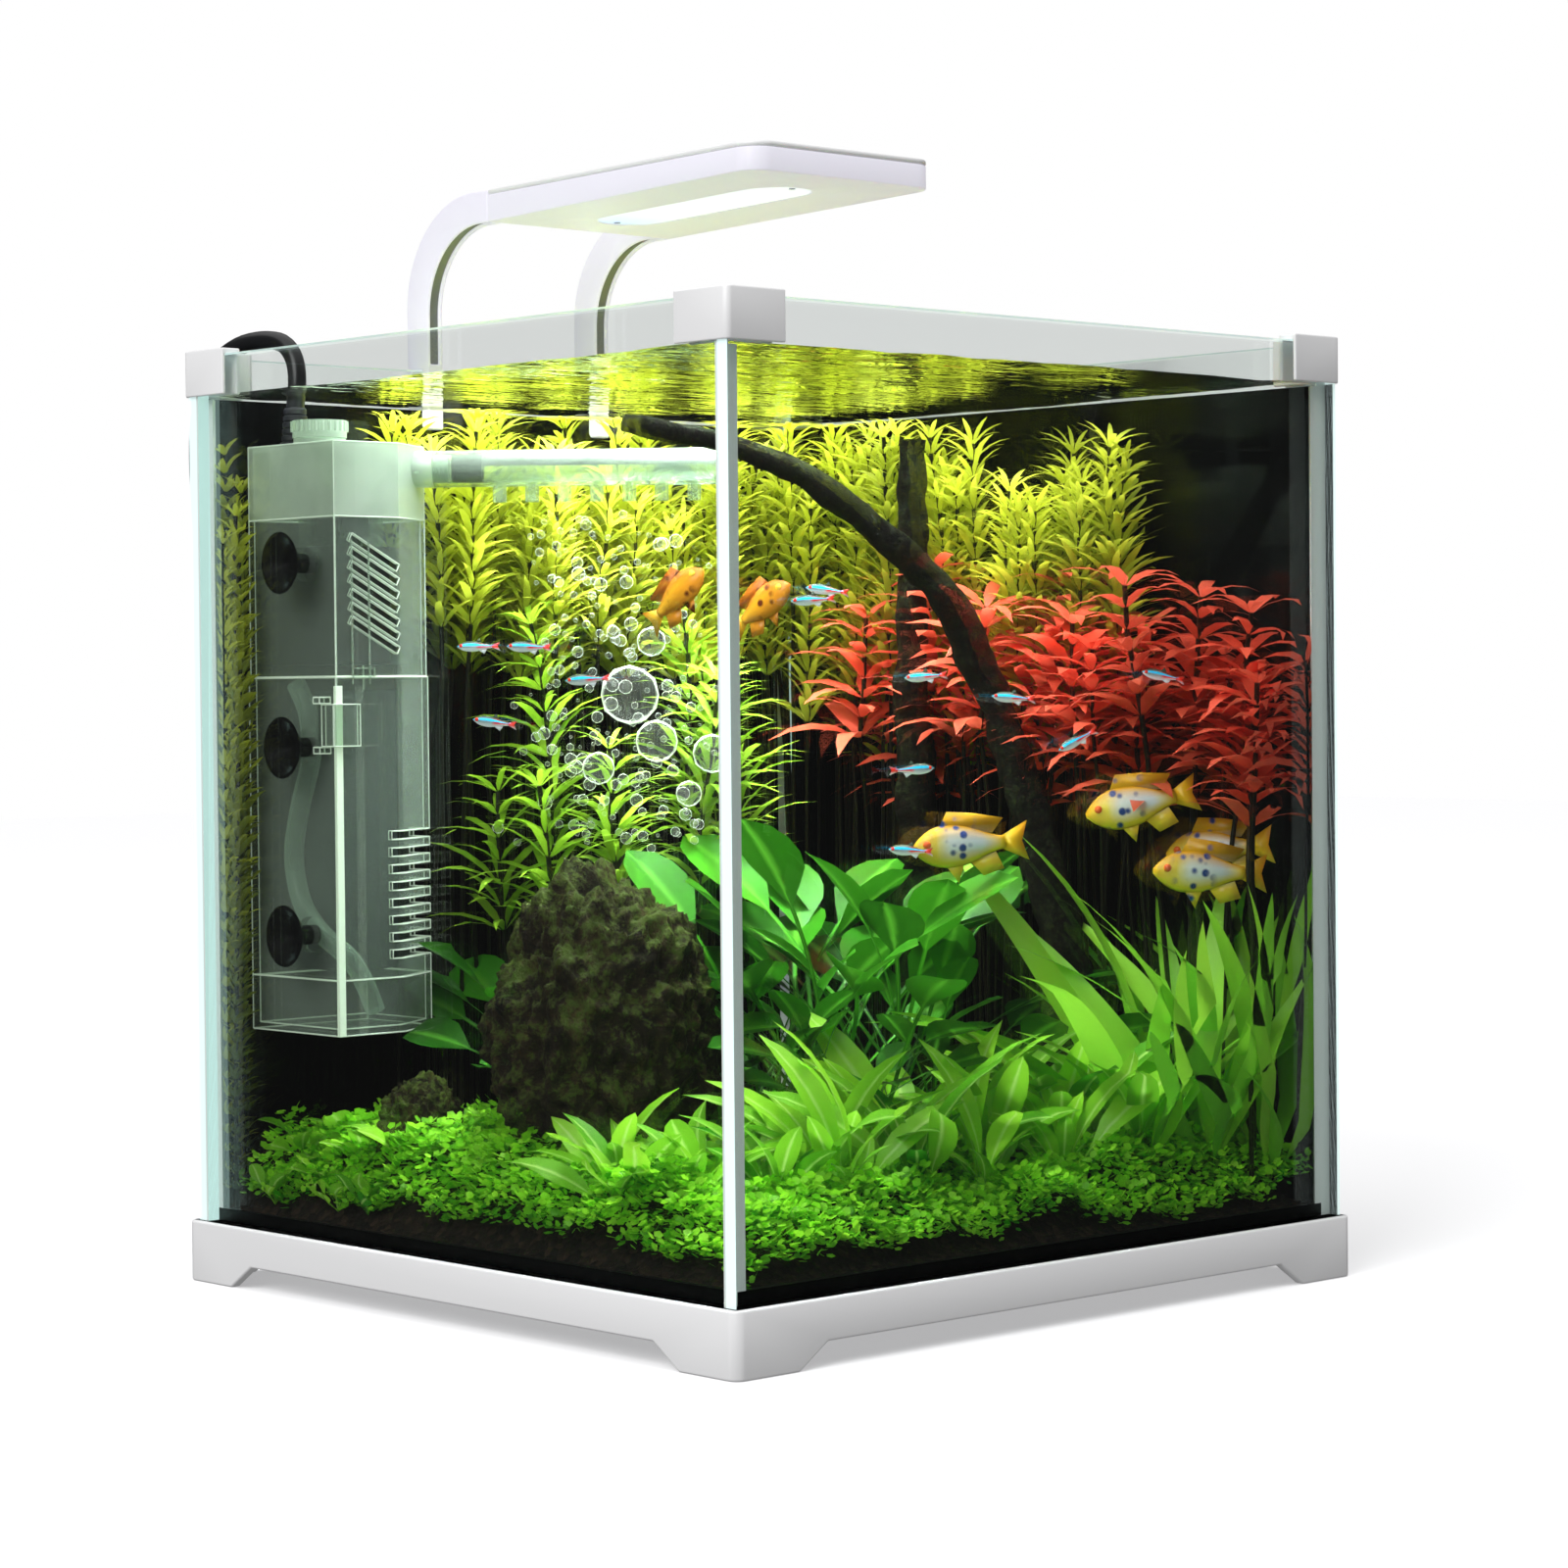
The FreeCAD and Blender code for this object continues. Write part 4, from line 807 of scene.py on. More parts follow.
def stemTree():
    # stems that rise from a patch of bed and carry whorls of leaves at an even spacing
    tree, given, add = newTree("whorledStems", {
        "Stem spacing": 0.012, "Lowest stem": 0.1, "Highest stem": 0.2, "Lean": 0.02,
        "Whorl spacing": 0.005, "Leaves in whorl": 5, "Leaf length": 0.012, "Leaf width": 0.002,
        "Leaf rise": 0.8, "Leaf droop": 0.9, "Stem radius": 0.0006, "Bare foot": 0.0, "Seed": 1,
        "Foliage": None})
    spots = add("GeometryNodeDistributePointsOnFaces", {0: given["Geometry"],
            "Distance Min": given["Stem spacing"], "Density Max": canopyDensity, "Seed": given["Seed"]},
            distribute_method="POISSON")
    line = add("GeometryNodeCurvePrimitiveLine", {"Start": (0, 0, 0), "End": (0, 0, 1)})
    fine = add("GeometryNodeResampleCurve", {0: line, "Count": 14})
    tall = add("FunctionNodeRandomValue", {2: given["Lowest stem"], 3: given["Highest stem"],
            "Seed": given["Seed"]})
    stems = add("GeometryNodeInstanceOnPoints", {"Points": spots, "Instance": fine,
            "Scale": tall.outputs[1]})
    way = add("FunctionNodeRandomValue", {0: (-1, -1, 0), 1: (1, 1, 0), "Seed": 7},
            data_type="FLOAT_VECTOR")
    kept = add("GeometryNodeStoreNamedAttribute", {0: stems, "Name": "leanWay", "Value": way},
            data_type="FLOAT_VECTOR", domain="INSTANCE")
    tone = add("FunctionNodeRandomValue", {"Seed": 21})
    toned = add("GeometryNodeStoreNamedAttribute", {0: kept, "Name": "stemTone", "Value": tone.outputs[1]},
            domain="INSTANCE")
    real = add("GeometryNodeRealizeInstances", {0: toned})
    share = add("GeometryNodeSplineParameter")
    here = add("GeometryNodeInputPosition")
    sway = add("ShaderNodeTexNoise", {"Vector": here, "Scale": 28.0})
    centred = add("ShaderNodeVectorMath", {0: sway.outputs[1], 1: (0.5, 0.5, 0.5)}, operation="SUBTRACT")
    leanWay = add("GeometryNodeInputNamedAttribute", {"Name": "leanWay"}, data_type="FLOAT_VECTOR")
    both = add("ShaderNodeVectorMath", {0: centred, 1: leanWay}, operation="ADD")
    amount = add("MULTIPLY", [add("POWER", [share, 1.6]), given["Lean"]])
    shift = add("ShaderNodeVectorMath", {0: both, "Scale": amount}, operation="SCALE")
    flat = add("ShaderNodeVectorMath", {0: shift, 1: (1, 1, 0.2)}, operation="MULTIPLY")
    leaning = add("GeometryNodeSetPosition", {0: real, "Offset": flat})
    even = add("GeometryNodeResampleCurve", {0: leaning, "Length": given["Whorl spacing"]}, mode="LENGTH")
    along = add("GeometryNodeStoreNamedAttribute", {0: even, "Name": "stemAlong", "Value": share})
    joints = add("GeometryNodeCurveToPoints", {0: along}, mode="EVALUATED")
    leaf = leafBlade(add, 2, 5, given["Leaf length"], given["Leaf width"], given["Leaf rise"],
                     given["Leaf droop"], 0.0, 0.72, 0.8, 0.0)
    whorl = ringOfLeaves(add, leaf, given["Leaves in whorl"], given["Stem radius"])
    spin = add("FunctionNodeRandomValue", {0: (-0.25, -0.25, 0), 1: (0.25, 0.25, 6.283), "Seed": 3},
            data_type="FLOAT_VECTOR")
    turned = add("FunctionNodeRotateRotation", {0: joints.outputs["Rotation"], 1: spin},
            rotation_space="LOCAL")
    placed = add("GeometryNodeInputNamedAttribute", {"Name": "stemAlong"})
    belly = add("SINE", [add("MULTIPLY", [add("POWER", [placed, 1.3]), 2.7])])
    large = add("FunctionNodeRandomValue", {2: 0.8, 3: 1.15, "Seed": 5}).outputs[1]
    size = add("MULTIPLY", [add("MULTIPLY_ADD", [belly, 0.55, 0.45]), large])
    leafy = add("GREATER_THAN", [placed, given["Bare foot"]])
    leaves = add("GeometryNodeInstanceOnPoints", {"Points": joints, "Instance": whorl, "Rotation": turned,
            "Scale": size, "Selection": leafy})
    outline = add("GeometryNodeCurvePrimitiveCircle", {"Resolution": 4, "Radius": given["Stem radius"]})
    stalks = add("GeometryNodeCurveToMesh", {0: even, 1: outline, "Fill Caps": True})
    whole = add("GeometryNodeJoinGeometry")
    tree.links.new(stalks.outputs[0], whole.inputs[0])
    tree.links.new(leaves.outputs[0], whole.inputs[0])
    endTree(tree, whole, given["Foliage"])
    return tree


def rosetteTree(across, along, petiole, belly, point, fold):
    # plants whose stalked leaves fan out from one crown
    tree, given, add = newTree("stalkedRosettes", {
        "Plant spacing": 0.02, "Leaves": 8, "Leaf length": 0.04, "Leaf width": 0.01, "Leaf rise": 1.1,
        "Leaf droop": 1.2, "Tilt": 0.35, "Smallest": 0.6, "Largest": 1.1, "Seed": 1, "Foliage": None})
    spots = add("GeometryNodeDistributePointsOnFaces", {0: given["Geometry"],
            "Distance Min": given["Plant spacing"], "Density Max": canopyDensity, "Seed": given["Seed"]},
            distribute_method="POISSON")
    tone = add("FunctionNodeRandomValue", {"Seed": 21})
    toned = add("GeometryNodeStoreNamedAttribute", {0: spots, "Name": "stemTone", "Value": tone.outputs[1]})
    many = add("GeometryNodeDuplicateElements", {0: toned, "Amount": given["Leaves"]}, domain="POINT")
    each = many.outputs[1]
    order = add("DIVIDE", [each, given["Leaves"]])
    inner = add("GeometryNodeStoreNamedAttribute", {0: many, "Name": "stemAlong", "Value": order})
    fan = add("MULTIPLY", [each, 2.4])
    loose = add("FunctionNodeRandomValue", {2: -0.8, 3: 0.8, "Seed": 31}).outputs[1]
    lift = add("FunctionNodeRandomValue", {2: -1.0, 3: 1.0, "Seed": 32}).outputs[1]
    upright = add("MULTIPLY_ADD", [order, given["Tilt"], add("MULTIPLY", [lift, 0.3])])
    pose = add("ShaderNodeCombineXYZ", {0: upright, 1: add("MULTIPLY", [loose, 0.7]),
            2: add("ADD", [fan, loose])})
    size = add("FunctionNodeRandomValue", {2: given["Smallest"], 3: given["Largest"],
            "Seed": given["Seed"]}).outputs[1]
    leaf = leafBlade(add, across, along, given["Leaf length"], given["Leaf width"], given["Leaf rise"],
                     given["Leaf droop"], petiole, belly, point, fold)
    leaves = add("GeometryNodeInstanceOnPoints", {"Points": inner, "Instance": leaf, "Rotation": pose,
            "Scale": size})
    endTree(tree, leaves, given["Foliage"])
    return tree


def carpetTree():
    # a cushion of tiny round leaves over a patch
    tree, given, add = newTree("creepingCarpet", {
        "Sprig spacing": 0.002, "Leaves in sprig": 6, "Leaf radius": 0.0011, "Sprig reach": 0.0022,
        "Pile": 0.004, "Seed": 1, "Foliage": None})
    spots = add("GeometryNodeDistributePointsOnFaces", {0: given["Geometry"],
            "Distance Min": given["Sprig spacing"], "Density Max": 400000.0, "Seed": given["Seed"]},
            distribute_method="POISSON")
    disc = add("GeometryNodeMeshCircle", {"Vertices": 5, "Radius": given["Leaf radius"]}, fill_type="NGON")
    whole = disc
    for label in ("leafAlong", "leafAcross"):
        whole = add("GeometryNodeStoreNamedAttribute", {0: whole, "Name": label, "Value": 1.0})
    moved = add("GeometryNodeTransform", {0: whole, "Rotation": (0.5, 0, 0)})
    around = add("GeometryNodeMeshCircle", {"Vertices": given["Leaves in sprig"],
            "Radius": given["Sprig reach"]})
    here = add("GeometryNodeInputPosition")
    turn = add("FunctionNodeAlignRotationToVector", {"Vector": here}, axis="Y", pivot_axis="Z")
    jitter = add("FunctionNodeRandomValue", {0: (-0.0012, -0.0012, -0.0012), 1: (0.0012, 0.0012, 0.0016),
            "Seed": 2}, data_type="FLOAT_VECTOR")
    scattered = add("GeometryNodeSetPosition", {0: around, "Offset": jitter})
    leaves = add("GeometryNodeInstanceOnPoints", {"Points": scattered, "Instance": moved, "Rotation": turn})
    sprig = add("GeometryNodeRealizeInstances", {0: leaves})
    rise = add("FunctionNodeRandomValue", {2: 0.0, 3: 1.0, "Seed": 8}).outputs[1]
    lift = add("ShaderNodeCombineXYZ", {2: add("MULTIPLY", [rise, given["Pile"]])})
    raised = add("GeometryNodeSetPosition", {0: spots, "Offset": lift})
    # a sprig's height also sets its tone: lower sprigs get painted shade
    toned = add("GeometryNodeStoreNamedAttribute", {0: raised, "Name": "stemAlong", "Value": rise})
    tone = add("FunctionNodeRandomValue", {"Seed": 21})
    marked = add("GeometryNodeStoreNamedAttribute", {0: toned, "Name": "stemTone",
            "Value": tone.outputs[1]})
    pose = add("FunctionNodeRandomValue", {0: (-0.5, -0.5, 0), 1: (0.5, 0.5, 6.283), "Seed": 4},
            data_type="FLOAT_VECTOR")
    size = add("FunctionNodeRandomValue", {2: 0.7, 3: 1.3, "Seed": 6}).outputs[1]
    sprigs = add("GeometryNodeInstanceOnPoints", {"Points": marked, "Instance": sprig, "Rotation": pose,
            "Scale": size})
    endTree(tree, sprigs, given["Foliage"])
    return tree


def leafMaterial(name, low, high, vein, shine, glow):
    # Living leaf: waxy skin over green tissue that lets a good part of the light through.
    # Tone runs from the dark foot to the bright head of each stem, from the first to the last leaf of a
    # rosette and from the lowest to the highest sprig of the carpet: partly the plant's own colour, partly
    # painted shade below and painted light above.
    material, add = newMaterial(name)
    tone = add("ShaderNodeAttribute", attribute_name="stemTone").outputs["Fac"]
    height = add("ShaderNodeAttribute", attribute_name="stemAlong").outputs["Fac"]
    along = add("ShaderNodeAttribute", attribute_name="leafAlong").outputs["Fac"]
    across = add("ShaderNodeAttribute", attribute_name="leafAcross").outputs["Fac"]
    # low on the stem darker, high brighter: painted shade and light, mixed with a random tone
    mixed = add("MULTIPLY_ADD", [tone, 0.45, add("MULTIPLY", [height, 0.62])])
    base = add("ShaderNodeValToRGB", [mixed], stops=[(0.05, low), (0.95, high)])
    blade = add("ShaderNodeMapRange", {0: along, 1: 0.0, 2: 0.04})
    rib = add("ShaderNodeMapRange", {0: across, 1: 0.02, 2: 0.22, 3: 0.65, 4: 0.0})
    rib = add("MULTIPLY", [rib, blade])
    base = add("ShaderNodeMix", {0: blade, 6: linear("#1A1A0C"), 7: base}, data_type="RGBA").outputs[2]
    colour = add("ShaderNodeMix", {0: rib, 6: base, 7: linear(vein)}, data_type="RGBA").outputs[2]
    shader = add("ShaderNodeBsdfPrincipled", {"Base Color": colour, "Roughness": shine})
    through = add("ShaderNodeBsdfTranslucent", {"Color": colour})
    both = add("ShaderNodeMixShader", {0: glow, 1: shader, 2: through})
    add("ShaderNodeOutputMaterial", {"Surface": both})
    return material


def bedPatch(name, corners, cells=20, mound=0.0, swell=30.0, sink=1.0):
    # a four-cornered piece of the bed's surface, raised into soft mounds
    vertices = []
    for j in range(cells + 1):
        for i in range(cells + 1):
            u, v = i / cells, j / cells
            (ax, ay), (bx, by), (cx, cy), (dx, dy) = corners
            x = (ax * (1 - u) + bx * u) * (1 - v) + (dx * (1 - u) + cx * u) * v
            y = (ay * (1 - u) + by * u) * (1 - v) + (dy * (1 - u) + cy * u) * v
            hill = mound * (0.5 + woodNoise((x, y, 0), swell, 5) + 0.4 * woodNoise((x, y, 9), swell / 3, 6))
            vertices.append((x, y, soilTop(x, y) - sink + max(hill, 0.0)))
    return meshFrom(name, vertices, sheetFaces(cells))


stems, rosettes = stemTree(), rosetteTree(5, 9, 0.3, 0.72, 0.75, 0.25)
blades, discs = rosetteTree(4, 12, 0.12, 0.62, 0.8, 0.2), rosetteTree(5, 20, 0.72, 0.85, 0.55, 0.2)
carpet = carpetTree()

# Needle-leaved stem plant, grown towards the lamp: feet darkened by painted shade, heads yellow-green and
# partly painted light.
needleLeaf = leafMaterial("needleStemLeaf", "#1E400C", "#D8E044", "#ECEC90", 0.4, 0.44)
# The same kind, a copy with painted half shade: darker and greener.
shadeLeaf = leafMaterial("shadedStemLeaf", "#1A460E", "#A4D232", "#CCE482", 0.4, 0.42)
# Red stem plant: coral to scarlet leaves, olive near the foot; the darker foot is partly painted shade.
redLeaf = leafMaterial("redStemLeaf", "#5A2412", "#FF6E50", "#FFC4B0", 0.35, 0.42)
# Broad leathery leaf, dark and waxy.
leatherLeaf = leafMaterial("leatheryRoundLeaf", "#0C3208", "#3E9018", "#66B434", 0.34, 0.2)
# Soft lance-shaped leaf, light green with a pale rib.
lanceLeaf = leafMaterial("softLanceLeaf", "#2E8C12", "#A8E83A", "#D2F48C", 0.36, 0.4)
bladeLeaf = leafMaterial("longBladeLeaf", "#38A018", "#AEEA44", "#D2F48C", 0.34, 0.4)
# Creeping carpet plant with leaves of 2-3 mm: bright green.
carpetLeaf = leafMaterial("creepingCarpetLeaf", "#3AA010", "#B2F83A", "#B2F83A", 0.4, 0.45)

stemBeds = {
    "needleStemsBack": {
        "patch": [(-58, 84), (112, 84), (114, 116), (-58, 116)], "leaf": needleLeaf,
        "Stem spacing": 8.2, "Lowest stem": 190, "Highest stem": 232,
        "Lean": 11, "Whorl spacing": 5.4, "Leaves in whorl": 8,
        "Leaf length": 19, "Leaf width": 2.6, "Leaf rise": 0.95,
        "Leaf droop": 0.9, "Stem radius": 0.7, "Bare foot": 0.72, "Seed": 3},
    "needleStemsCorner": {
        "patch": [(-119, 112), (-108, 112), (-108, 119), (-119, 119)], "leaf": needleLeaf,
        "Stem spacing": 4, "Lowest stem": 196, "Highest stem": 224,
        "Lean": 4, "Whorl spacing": 5.6, "Leaves in whorl": 8,
        "Leaf length": 13, "Leaf width": 2.8, "Leaf rise": 1.0,
        "Leaf droop": 0.9, "Stem radius": 0.7, "Bare foot": 0.0, "Seed": 4},
    "needleStemsRight": {
        "patch": [(97, -44), (116, -52), (116, 84), (95, 84)], "leaf": needleLeaf,
        "Stem spacing": 7.8, "Lowest stem": 196, "Highest stem": 232,
        "Lean": 10, "Whorl spacing": 5.4, "Leaves in whorl": 8,
        "Leaf length": 19, "Leaf width": 2.6, "Leaf rise": 0.95,
        "Leaf droop": 0.9, "Stem radius": 0.7, "Bare foot": 0.62, "Seed": 5},
    "needleStemsMiddle": {
        "patch": [(-52, 50), (40, 42), (50, 74), (-50, 78)], "leaf": shadeLeaf,
        "Stem spacing": 20, "Lowest stem": 100, "Highest stem": 185,
        "Lean": 12, "Whorl spacing": 7.0, "Leaves in whorl": 7,
        "Leaf length": 26, "Leaf width": 2.8, "Leaf rise": 0.8,
        "Leaf droop": 1.0, "Stem radius": 0.8, "Bare foot": 0.55, "Seed": 8},
    "redStems": {
        "patch": [(92, -117), (117, -117), (117, 66), (92, 60)], "leaf": redLeaf,
        "Stem spacing": 11, "Lowest stem": 142, "Highest stem": 182,
        "Lean": 12, "Whorl spacing": 6.5, "Leaves in whorl": 5,
        "Leaf length": 30, "Leaf width": 6.4, "Leaf rise": 0.75,
        "Leaf droop": 1.2, "Stem radius": 0.8, "Bare foot": 0.76, "Seed": 2},
}

rosetteBeds = {
    "lanceLeavesLeft": {
        "tree": rosettes, "patch": [(-108, -60), (-60, -86), (-38, -54), (-94, -28)], "leaf": lanceLeaf,
        "Plant spacing": 19, "Leaves": 10, "Leaf length": 44,
        "Leaf width": 9, "Leaf rise": 1.15, "Leaf droop": 1.1, "Tilt": 0.45,
        "Smallest": 0.45, "Largest": 1.0, "Seed": 4},
    "lanceLeavesCorner": {
        "tree": rosettes, "patch": [(-116, 50), (-100, 44), (-98, 92), (-116, 96)], "leaf": lanceLeaf,
        "Plant spacing": 14, "Leaves": 8, "Leaf length": 26,
        "Leaf width": 10, "Leaf rise": 1.0, "Leaf droop": 1.1, "Tilt": 0.3,
        "Smallest": 0.5, "Largest": 0.9, "Seed": 5},
    "lanceLeavesFront": {
        "tree": rosettes, "patch": [(-52, -88), (64, -100), (70, -62), (-40, -50)], "leaf": lanceLeaf,
        "Plant spacing": 21, "Leaves": 12, "Leaf length": 58,
        "Leaf width": 10, "Leaf rise": 1.2, "Leaf droop": 1.1, "Tilt": 0.45,
        "Smallest": 0.45, "Largest": 1.15, "Seed": 6},
    "longBlades": {
        "tree": blades, "patch": [(66, -100), (114, -112), (114, -70), (78, -66)], "leaf": bladeLeaf,
        "Plant spacing": 17, "Leaves": 11, "Leaf length": 116,
        "Leaf width": 9.5, "Leaf rise": 1.05, "Leaf droop": 0.9, "Tilt": 0.55,
        "Smallest": 0.5, "Largest": 1.1, "Seed": 9},
    "roundLeavesMiddle": {
        "tree": discs, "patch": [(-16, -34), (36, -40), (46, 8), (-4, 16)], "leaf": leatherLeaf,
        "Plant spacing": 17, "Leaves": 10, "Leaf length": 128,
        "Leaf width": 23, "Leaf rise": 1.3, "Leaf droop": 1.15, "Tilt": 0.25,
        "Smallest": 0.35, "Largest": 1.0, "Seed": 12},
    "roundLeavesLeft": {
        "tree": discs, "patch": [(-56, 30), (-32, 20), (-26, 58), (-42, 64)], "leaf": leatherLeaf,
        "Plant spacing": 16, "Leaves": 9, "Leaf length": 84,
        "Leaf width": 21, "Leaf rise": 1.2, "Leaf droop": 1.15, "Tilt": 0.25,
        "Smallest": 0.4, "Largest": 1.0, "Seed": 14},
}

for bedName, plan in (stemBeds | rosetteBeds).items():
    runTree(bedName, bedPatch(bedName + "Patch", plan["patch"]), plan.get("tree", stems),
            {**plan, "Foliage": plan["leaf"]})

carpetPlan = {
    "patches": {"creepingCarpetLeft": [(-118.5, -118.5), (0, -118.5), (0, 10), (-118.5, 112)],
                "creepingCarpetRight": [(0, -118.5), (118.5, -118.5), (118.5, -20), (0, 10)]},
    "mound": 12.0, "cells": 48, "Sprig spacing": 1.9, "Leaves in sprig": 6,
    "Leaf radius": 1.25, "Sprig reach": 2.1, "Pile": 4.5,
    "Seed": 2, "Foliage": carpetLeaf}
for patchName, corners in carpetPlan["patches"].items():
    base = bedPatch(patchName + "Base", corners, carpetPlan["cells"], carpetPlan["mound"], sink=0.0)
    runTree(patchName, base, carpet, carpetPlan)
print("plants grown")


# ---- painted highlights along the clear filter's edges

def highlightBeadTree():
    # a fine bead along every sharp edge: a painted highlight where clear plastic would catch the light
    tree, given, add = newTree("paintedEdgeHighlights", {"Smallest angle": 0.6, "Shortest edge": 0.0018,
                                          "Bead radius": 0.0002, "Highlight skin": None})
    angle = add("GeometryNodeInputMeshEdgeAngle")
    ends = add("GeometryNodeInputMeshEdgeVertices")
    span = add("ShaderNodeVectorMath", [ends.outputs["Position 1"], ends.outputs["Position 2"]],
            operation="DISTANCE").outputs["Value"]
    sharp = add("MULTIPLY", [add("GREATER_THAN", [angle, given["Smallest angle"]]),
            add("GREATER_THAN", [span, given["Shortest edge"]])])
    lines = add("GeometryNodeMeshToCurve", {0: given["Geometry"], "Selection": sharp})
    outline = add("GeometryNodeCurvePrimitiveCircle", {"Resolution": 4, "Radius": given["Bead radius"]})
    beads = add("GeometryNodeCurveToMesh", {0: lines, 1: outline, "Fill Caps": True})
    endTree(tree, beads, given["Highlight skin"])
    return tree


def highlightBeadMaterial():
    # Painted highlight for the edges of moulded clear plastic: pale, glowing and partly see-through.
    material, add = newMaterial("paintedHighlightSanEdge")
    shader = add("ShaderNodeBsdfPrincipled", {"Base Color": linear("#E4F0E0"), "Roughness": 0.2,
            "IOR": 1.57, "Emission Color": linear("#E4F2E0"), "Emission Strength": 0.3})
    clear = add("ShaderNodeBsdfTransparent")
    both = add("ShaderNodeMixShader", [0.6, clear, shader])
    add("ShaderNodeOutputMaterial", {"Surface": both})
    return material


paintedEdgeHighlights = {   # bead radius in millimetres
    "filter_head": 0.2, "pump_shell": 0.25, "canister_body": 0.25, "canister_floor": 0.25,
    "canister_latch": 0.25,
}
beadTree, highlightSkin = highlightBeadTree(), highlightBeadMaterial()
for nodeName, beadRadius in paintedEdgeHighlights.items():
    runTree(pieceName("highlightBeadsOf", nodeName), mergedMesh(nodeName), beadTree,
            {"Bead radius": beadRadius, "Highlight skin": highlightSkin}, bodyOf(nodeName), grows=False)
print("filter edges drawn")


# ---- water and air bubbles

waterPlan = {"half": 120.2, "top": 273.0, "cells": 70, "ripple": 0.55, "length": 26.0}


def makeWater(plan):
    # a rippled sheet just inside the panes
    n, half, length = plan["cells"], plan["half"], plan["length"]
    vertices = []
    for j in range(n + 1):
        for i in range(n + 1):
            x, y = -half + 2 * half * i / n, -half + 2 * half * j / n
            wave = woodNoise((x, y * 0.6, 0), length, 1) + 0.4 * woodNoise((x, y, 3), length / 3, 2)
            vertices.append((x, y, plan["top"] + plan["ripple"] * wave))
    mesh = meshFrom("waterSurface", vertices, sheetFaces(n))
    addPiece("waterSurface", mesh, "root", material=waterMaterial())


def waterMaterial():
    # Still water seen at its surface: clear from above, a full mirror from below at a slant.
    material, add = newMaterial("stillWater")
    place = add("ShaderNodeTexCoord").outputs["Object"]
    long = add("ShaderNodeMapping", {0: place, "Rotation": (0, 0, -0.74), "Scale": (1, 3.2, 1)})
    waves = add("ShaderNodeTexNoise", {"Vector": long, "Scale": 46.0, "Detail": 3.0})
    bump = add("ShaderNodeBump", {"Height": waves, "Strength": 0.35, "Distance": 0.004})
    fresnel = add("ShaderNodeFresnel", {"IOR": 1.33, "Normal": bump})
    clear = add("ShaderNodeBsdfTransparent", {"Color": linear("#F6FCF8")})
    gloss = add("ShaderNodeBsdfGlossy", {"Roughness": 0.02, "Color": linear("#FCFFF2"), "Normal": bump})
    shadow = add("ShaderNodeLightPath").outputs["Is Shadow Ray"]
    mirrored = add("MULTIPLY", [fresnel, add("SUBTRACT", [1.0, shadow])])
    both = add("ShaderNodeMixShader", {0: mirrored, 1: clear, 2: gloss})
    add("ShaderNodeOutputMaterial", {"Surface": both})
    return material


makeWater(waterPlan)


def bubbleMaterial():
    # Air in water: clear in the middle, with a painted glowing ring round the rim in place of its reflection.
    material, add = newMaterial("airBubble")
    facing = add("ShaderNodeLayerWeight", {"Blend": 0.35}).outputs["Facing"]
    rim = add("ShaderNodeMapRange", {0: facing, 1: 0.42, 2: 0.78, 3: 0.03, 4: 1.0})
    shader = add("ShaderNodeBsdfPrincipled", {"Base Color": linear("#E4EEDE"), "Roughness": 0.12,
            "IOR": 1.33, "Emission Color": linear("#E4EEDC"), "Emission Strength": 0.85})
    clear = add("ShaderNodeBsdfTransparent")
    both = add("ShaderNodeMixShader", {0: rim, 1: clear, 2: shader})
    add("ShaderNodeOutputMaterial", {"Surface": both})
    return material


def bubbleTree():
    # one small ball at each point, of the size that the point carries
    tree, given, add = newTree("airBubbles", {"Roundness": 2, "Skin": None})
    ball = add("GeometryNodeMeshIcoSphere", {"Radius": 1.0, "Subdivisions": given["Roundness"]})
    size = add("GeometryNodeInputNamedAttribute", {"Name": "bubbleRadius"})
    spots = add("GeometryNodeMeshToPoints", {0: given["Geometry"]})
    balls = add("GeometryNodeInstanceOnPoints", {"Points": spots, "Instance": ball, "Scale": size})
    endTree(tree, balls, given["Skin"])
    return tree


bubblePlan = {"count": 260, "seed": 5, "top": 236.0, "bottom": 132.0,
              "from": (-44, 56), "to": (-8, 18), "spread": 9.0,
              "small": (0.6, 1.9), "large": [(-47, 7, 180, 9.0), (-40, 3, 166, 6.5), (-34, 12, 196, 4.5),
                                             (-24, -4, 162, 6.0), (-52, 16, 158, 5.0), (-30, 0, 150, 4.0)]}


def makeBubbles(plan):
    dice = random.Random(plan["seed"])
    spots, sizes = [], []
    for _ in range(plan["count"]):
        share, depth = dice.random(), dice.random() ** 0.9
        wide = plan["spread"] * (0.35 + depth)
        x = plan["from"][0] + (plan["to"][0] - plan["from"][0]) * share + dice.gauss(0, wide / 2)
        y = plan["from"][1] + (plan["to"][1] - plan["from"][1]) * share + dice.gauss(0, wide / 2)
        spots.append((x, y, plan["top"] - (plan["top"] - plan["bottom"]) * depth))
        sizes.append(dice.uniform(*plan["small"]) * (0.75 if dice.random() < 0.6 else 1.2))
    for x, y, z, radius in plan["large"]:
        spots.append((x, y, z))
        sizes.append(radius)
    base = meshFrom("bubbleSpots", spots, [], smooth=False)
    radii = base.attributes.new("bubbleRadius", "FLOAT", "POINT")
    radii.data.foreach_set("value", [r * millimetre for r in sizes])
    runTree("airBubbles", base, bubbleTree(), {"Skin": bubbleMaterial()})


makeBubbles(bubblePlan)
print("water filled")


# ---- fish

